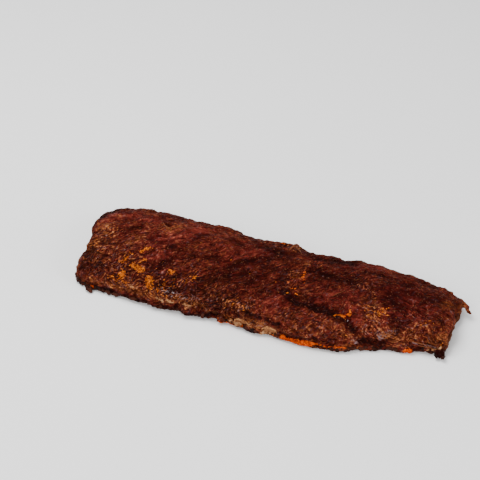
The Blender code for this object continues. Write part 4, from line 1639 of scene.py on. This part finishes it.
@dataclass
class Fibres:
    """Loose strands of meat: many short ones at random, and those that the photograph shows."""

    finish: FlakeFinish
    view: PhotoView
    seed: int = 11
    count: int = 260
    thickness: Span = (0.00018, 0.00036)
    length: Span = (0.0022, 0.0055)
    steps: int = 4
    corners: int = 5
    lift: float = 0.00002
    least_up: float = 0.3
    turn_spread: float = 22.0
    waver: float = 0.12
    lightest: float = 0.45
    end_width: float = 0.35

    def build(self, slab: bpy.types.Object) -> bpy.types.Object:
        """Makes the strands as one mesh.

        Args:
            slab: The slab that they lie on.

        Returns:
            The joined strands.
        """
        draw = random.Random(self.seed)
        mesh = slab.data
        tree = surface_of(mesh)
        co, normal = points_of(mesh), points_of(mesh, "normal")
        places = [int(index) for index in np.flatnonzero(normal[:, 2] > self.least_up)]
        bm = bmesh.new()
        for index in draw.sample(places, self.count):
            turn = math.radians(draw.gauss(BarkFinish.seam_turn, self.turn_spread))
            run = Vector((math.cos(turn), math.sin(turn), 0.0)) * draw.choice((-1, 1))
            path = self._path(tree, Vector(co[index]), run, draw)
            poured(self._tube(path, draw.uniform(*self.thickness), draw.random() * self.lightest), bm)
        for strand in STRANDS:
            poured(self._tube(self._placed(tree, strand), strand.radius_mm / 1000, strand.shade), bm)
        keep_in_box(bm.verts)
        return settled(linked("loose_fibres", bm, self.finish.build()))

    def _placed(self, tree: BVHTree, strand: Strand) -> list[Vector]:
        """The points of a strand over the surface, three to each stretch between its pixels.

        Args:
            tree: The slab's surface.
            strand: The strand.

        Returns:
            The points.
        """
        corners = self.view.path_on(tree, strand.path, strand.name)
        points = corners[:1]
        for start, end in zip(corners, corners[1:]):
            points += [start.lerp(end, share) for share in (1 / 3, 2 / 3, 1.0)]
        rounded = points[:1]
        for before, at, after in zip(points, points[1:], points[2:]):
            rounded.append(at * 0.5 + (before + after) * 0.25)
        rounded += points[-1:]
        last = len(rounded) - 1
        placed = []
        for step, point in enumerate(rounded):
            near, normal, _, _ = tree.find_nearest(point)
            placed.append(near + normal * (strand.rise_mm / 1000 * math.sin(math.pi * step / last)))
        return placed

    def _path(self, tree: BVHTree, start: Vector, run: Vector, draw: random.Random) -> list[Vector]:
        """A line that follows the surface, a hair above it.

        Args:
            tree: The slab's surface.
            start: Where it starts.
            run: The direction in which it sets off.
            draw: The random numbers.

        Returns:
            The line's points.
        """
        pace = draw.uniform(*self.length) / self.steps
        points = []
        at = start
        for _ in range(self.steps + 1):
            near, normal, _, _ = tree.find_nearest(at)
            points.append(near + normal * self.lift)
            aside = Vector((draw.gauss(0, self.waver), draw.gauss(0, self.waver), 0.0))
            run = (run + aside).normalized()
            at = near + run * pace
        return points

    def _tube(self, path: list[Vector], radius: float, shade: float) -> bmesh.types.BMesh:
        """Makes a thin tube along a path: a hoop at each point, thinner at the ends, bridged to the next.

        Args:
            path: The tube's middle line.
            radius: Its radius at the thickest place.
            shade: Its tone.

        Returns:
            The tube.
        """
        bm = bmesh.new()
        tone = bm.verts.layers.float.new("tone")
        last = len(path) - 1
        hoops = []
        for step, point in enumerate(path):
            width = self.end_width + (1 - self.end_width) * math.sin(math.pi * step / last)
            ahead = path[min(step + 1, last)] - path[max(step - 1, 0)]
            turned = ahead.to_track_quat("Z", "Y").to_matrix().to_4x4()
            hoop = bmesh.ops.create_circle(
                bm,
                cap_ends=step in (0, last),
                segments=self.corners,
                radius=radius * width,
                matrix=Matrix.Translation(point) @ turned,
            )["verts"]
            for vert in hoop:
                vert[tone] = shade
            hoops.append(list(dict.fromkeys(edge for vert in hoop for edge in vert.link_edges)))
        for first, second in zip(hoops, hoops[1:]):
            bmesh.ops.bridge_loops(bm, edges=first + second)
        return bm


# The studio


@dataclass(frozen=True)
class Lamp:
    """A square soft light that faces the rack, with its power in watts."""

    name: str
    place: Triple
    power: float
    size: float = 0.9

    def build(self) -> None:
        """Adds the light."""
        data = bpy.data.lights.new(self.name, "AREA")
        data.shape = "SQUARE"
        data.size = self.size
        data.energy = self.power
        lamp = bpy.data.objects.new(self.name, data)
        lamp.location = self.place
        lamp.rotation_mode = "QUATERNION"
        lamp.rotation_quaternion = (-Vector(self.place)).to_track_quat("-Z", "Y")
        bpy.context.scene.collection.objects.link(lamp)


@dataclass(frozen=True)
class Studio:
    """A pale floor, a soft light above and behind, and weaker ones in front and at the right."""

    floor_size: float = 8.0
    floor_drop: float = 0.0004
    floor_dark: Colour = (0.86, 0.86, 0.86)
    floor_light: Colour = (0.90, 0.90, 0.90)
    floor_scale: float = 2.0
    floor_roughness: float = 0.8
    sky_colour: Colour = (1.0, 1.0, 1.0)
    sky: float = 0.34
    lamps: tuple[Lamp, ...] = (
        Lamp("key", (-0.50, 0.12, 1.25), 27.0),
        Lamp("fill", (-0.20, -1.25, 0.75), 17.0),
        Lamp("side", (1.35, -0.15, 0.60), 16.0),
    )

    def build(self) -> None:
        """Makes the floor, the lights and the sky."""
        g = Graph("pale_floor")
        tint = g.blend(g.noise(g.position, self.floor_scale, detail=2.0), self.floor_dark, self.floor_light)
        floor_finish = g.surface(Base_Color=tint, Roughness=self.floor_roughness)
        bm = bmesh.new()
        bmesh.ops.create_grid(bm, x_segments=2, y_segments=2, size=self.floor_size / 2)
        bmesh.ops.translate(bm, verts=bm.verts, vec=(0.0, 0.0, CAD_BOX[0].z - self.floor_drop))
        linked("floor", bm, floor_finish)
        for lamp in self.lamps:
            lamp.build()
        world = bpy.data.worlds.new("sky")
        world.use_nodes = True
        background = world.node_tree.nodes["Background"]
        background.inputs["Color"].default_value = (*self.sky_colour, 1.0)
        background.inputs["Strength"].default_value = self.sky
        bpy.context.scene.world = world


def main() -> None:
    """Builds every piece in order."""
    logging.basicConfig(level=logging.INFO, format="%(name)s %(message)s")
    view = PhotoView()
    view.build()
    Studio().build()
    bark = BarkFinish().build()
    bone = BoneFinish().build()
    bark_crumb = FlakeFinish("bark_crumb", (0.016, 0.004, 0.0028), (0.115, 0.032, 0.014), roughness=0.6)
    fat_bead = FlakeFinish("fat_bead", (0.2, 0.036, 0.004), (0.56, 0.16, 0.014), roughness=0.34)
    # Painted shade: the crumbs along the foot take a darker copy of the bark crumbs' colours.
    shaded_foot_crumb = FlakeFinish("shaded_foot_crumb", (0.006, 0.0017, 0.0014), (0.05, 0.013, 0.007), roughness=0.6)
    strand = FlakeFinish("strand", (0.022, 0.004, 0.002), (0.21, 0.062, 0.022), roughness=0.45)

    slab = Slab(view, bark).build()
    for node in BONE_NODES:
        RibBone(node, bone).build()
    for pieces in (
        Scatter("bark_crumbs", bark_crumb, seed=3, count=2600, size=(0.0003, 0.00085), flatness=0.55),
        Scatter(
            "foot_crumbs", shaded_foot_crumb, seed=9, count=210, size=(0.0009, 0.0024), flatness=0.75, foot=0.0045
        ),
        FatBeads("fat_beads", fat_bead, seed=5, count=260, size=(0.0003, 0.0007), flatness=0.45),
        Fibres(strand, view),
    ):
        pieces.build(slab)


if __name__ == "__main__":
    main()
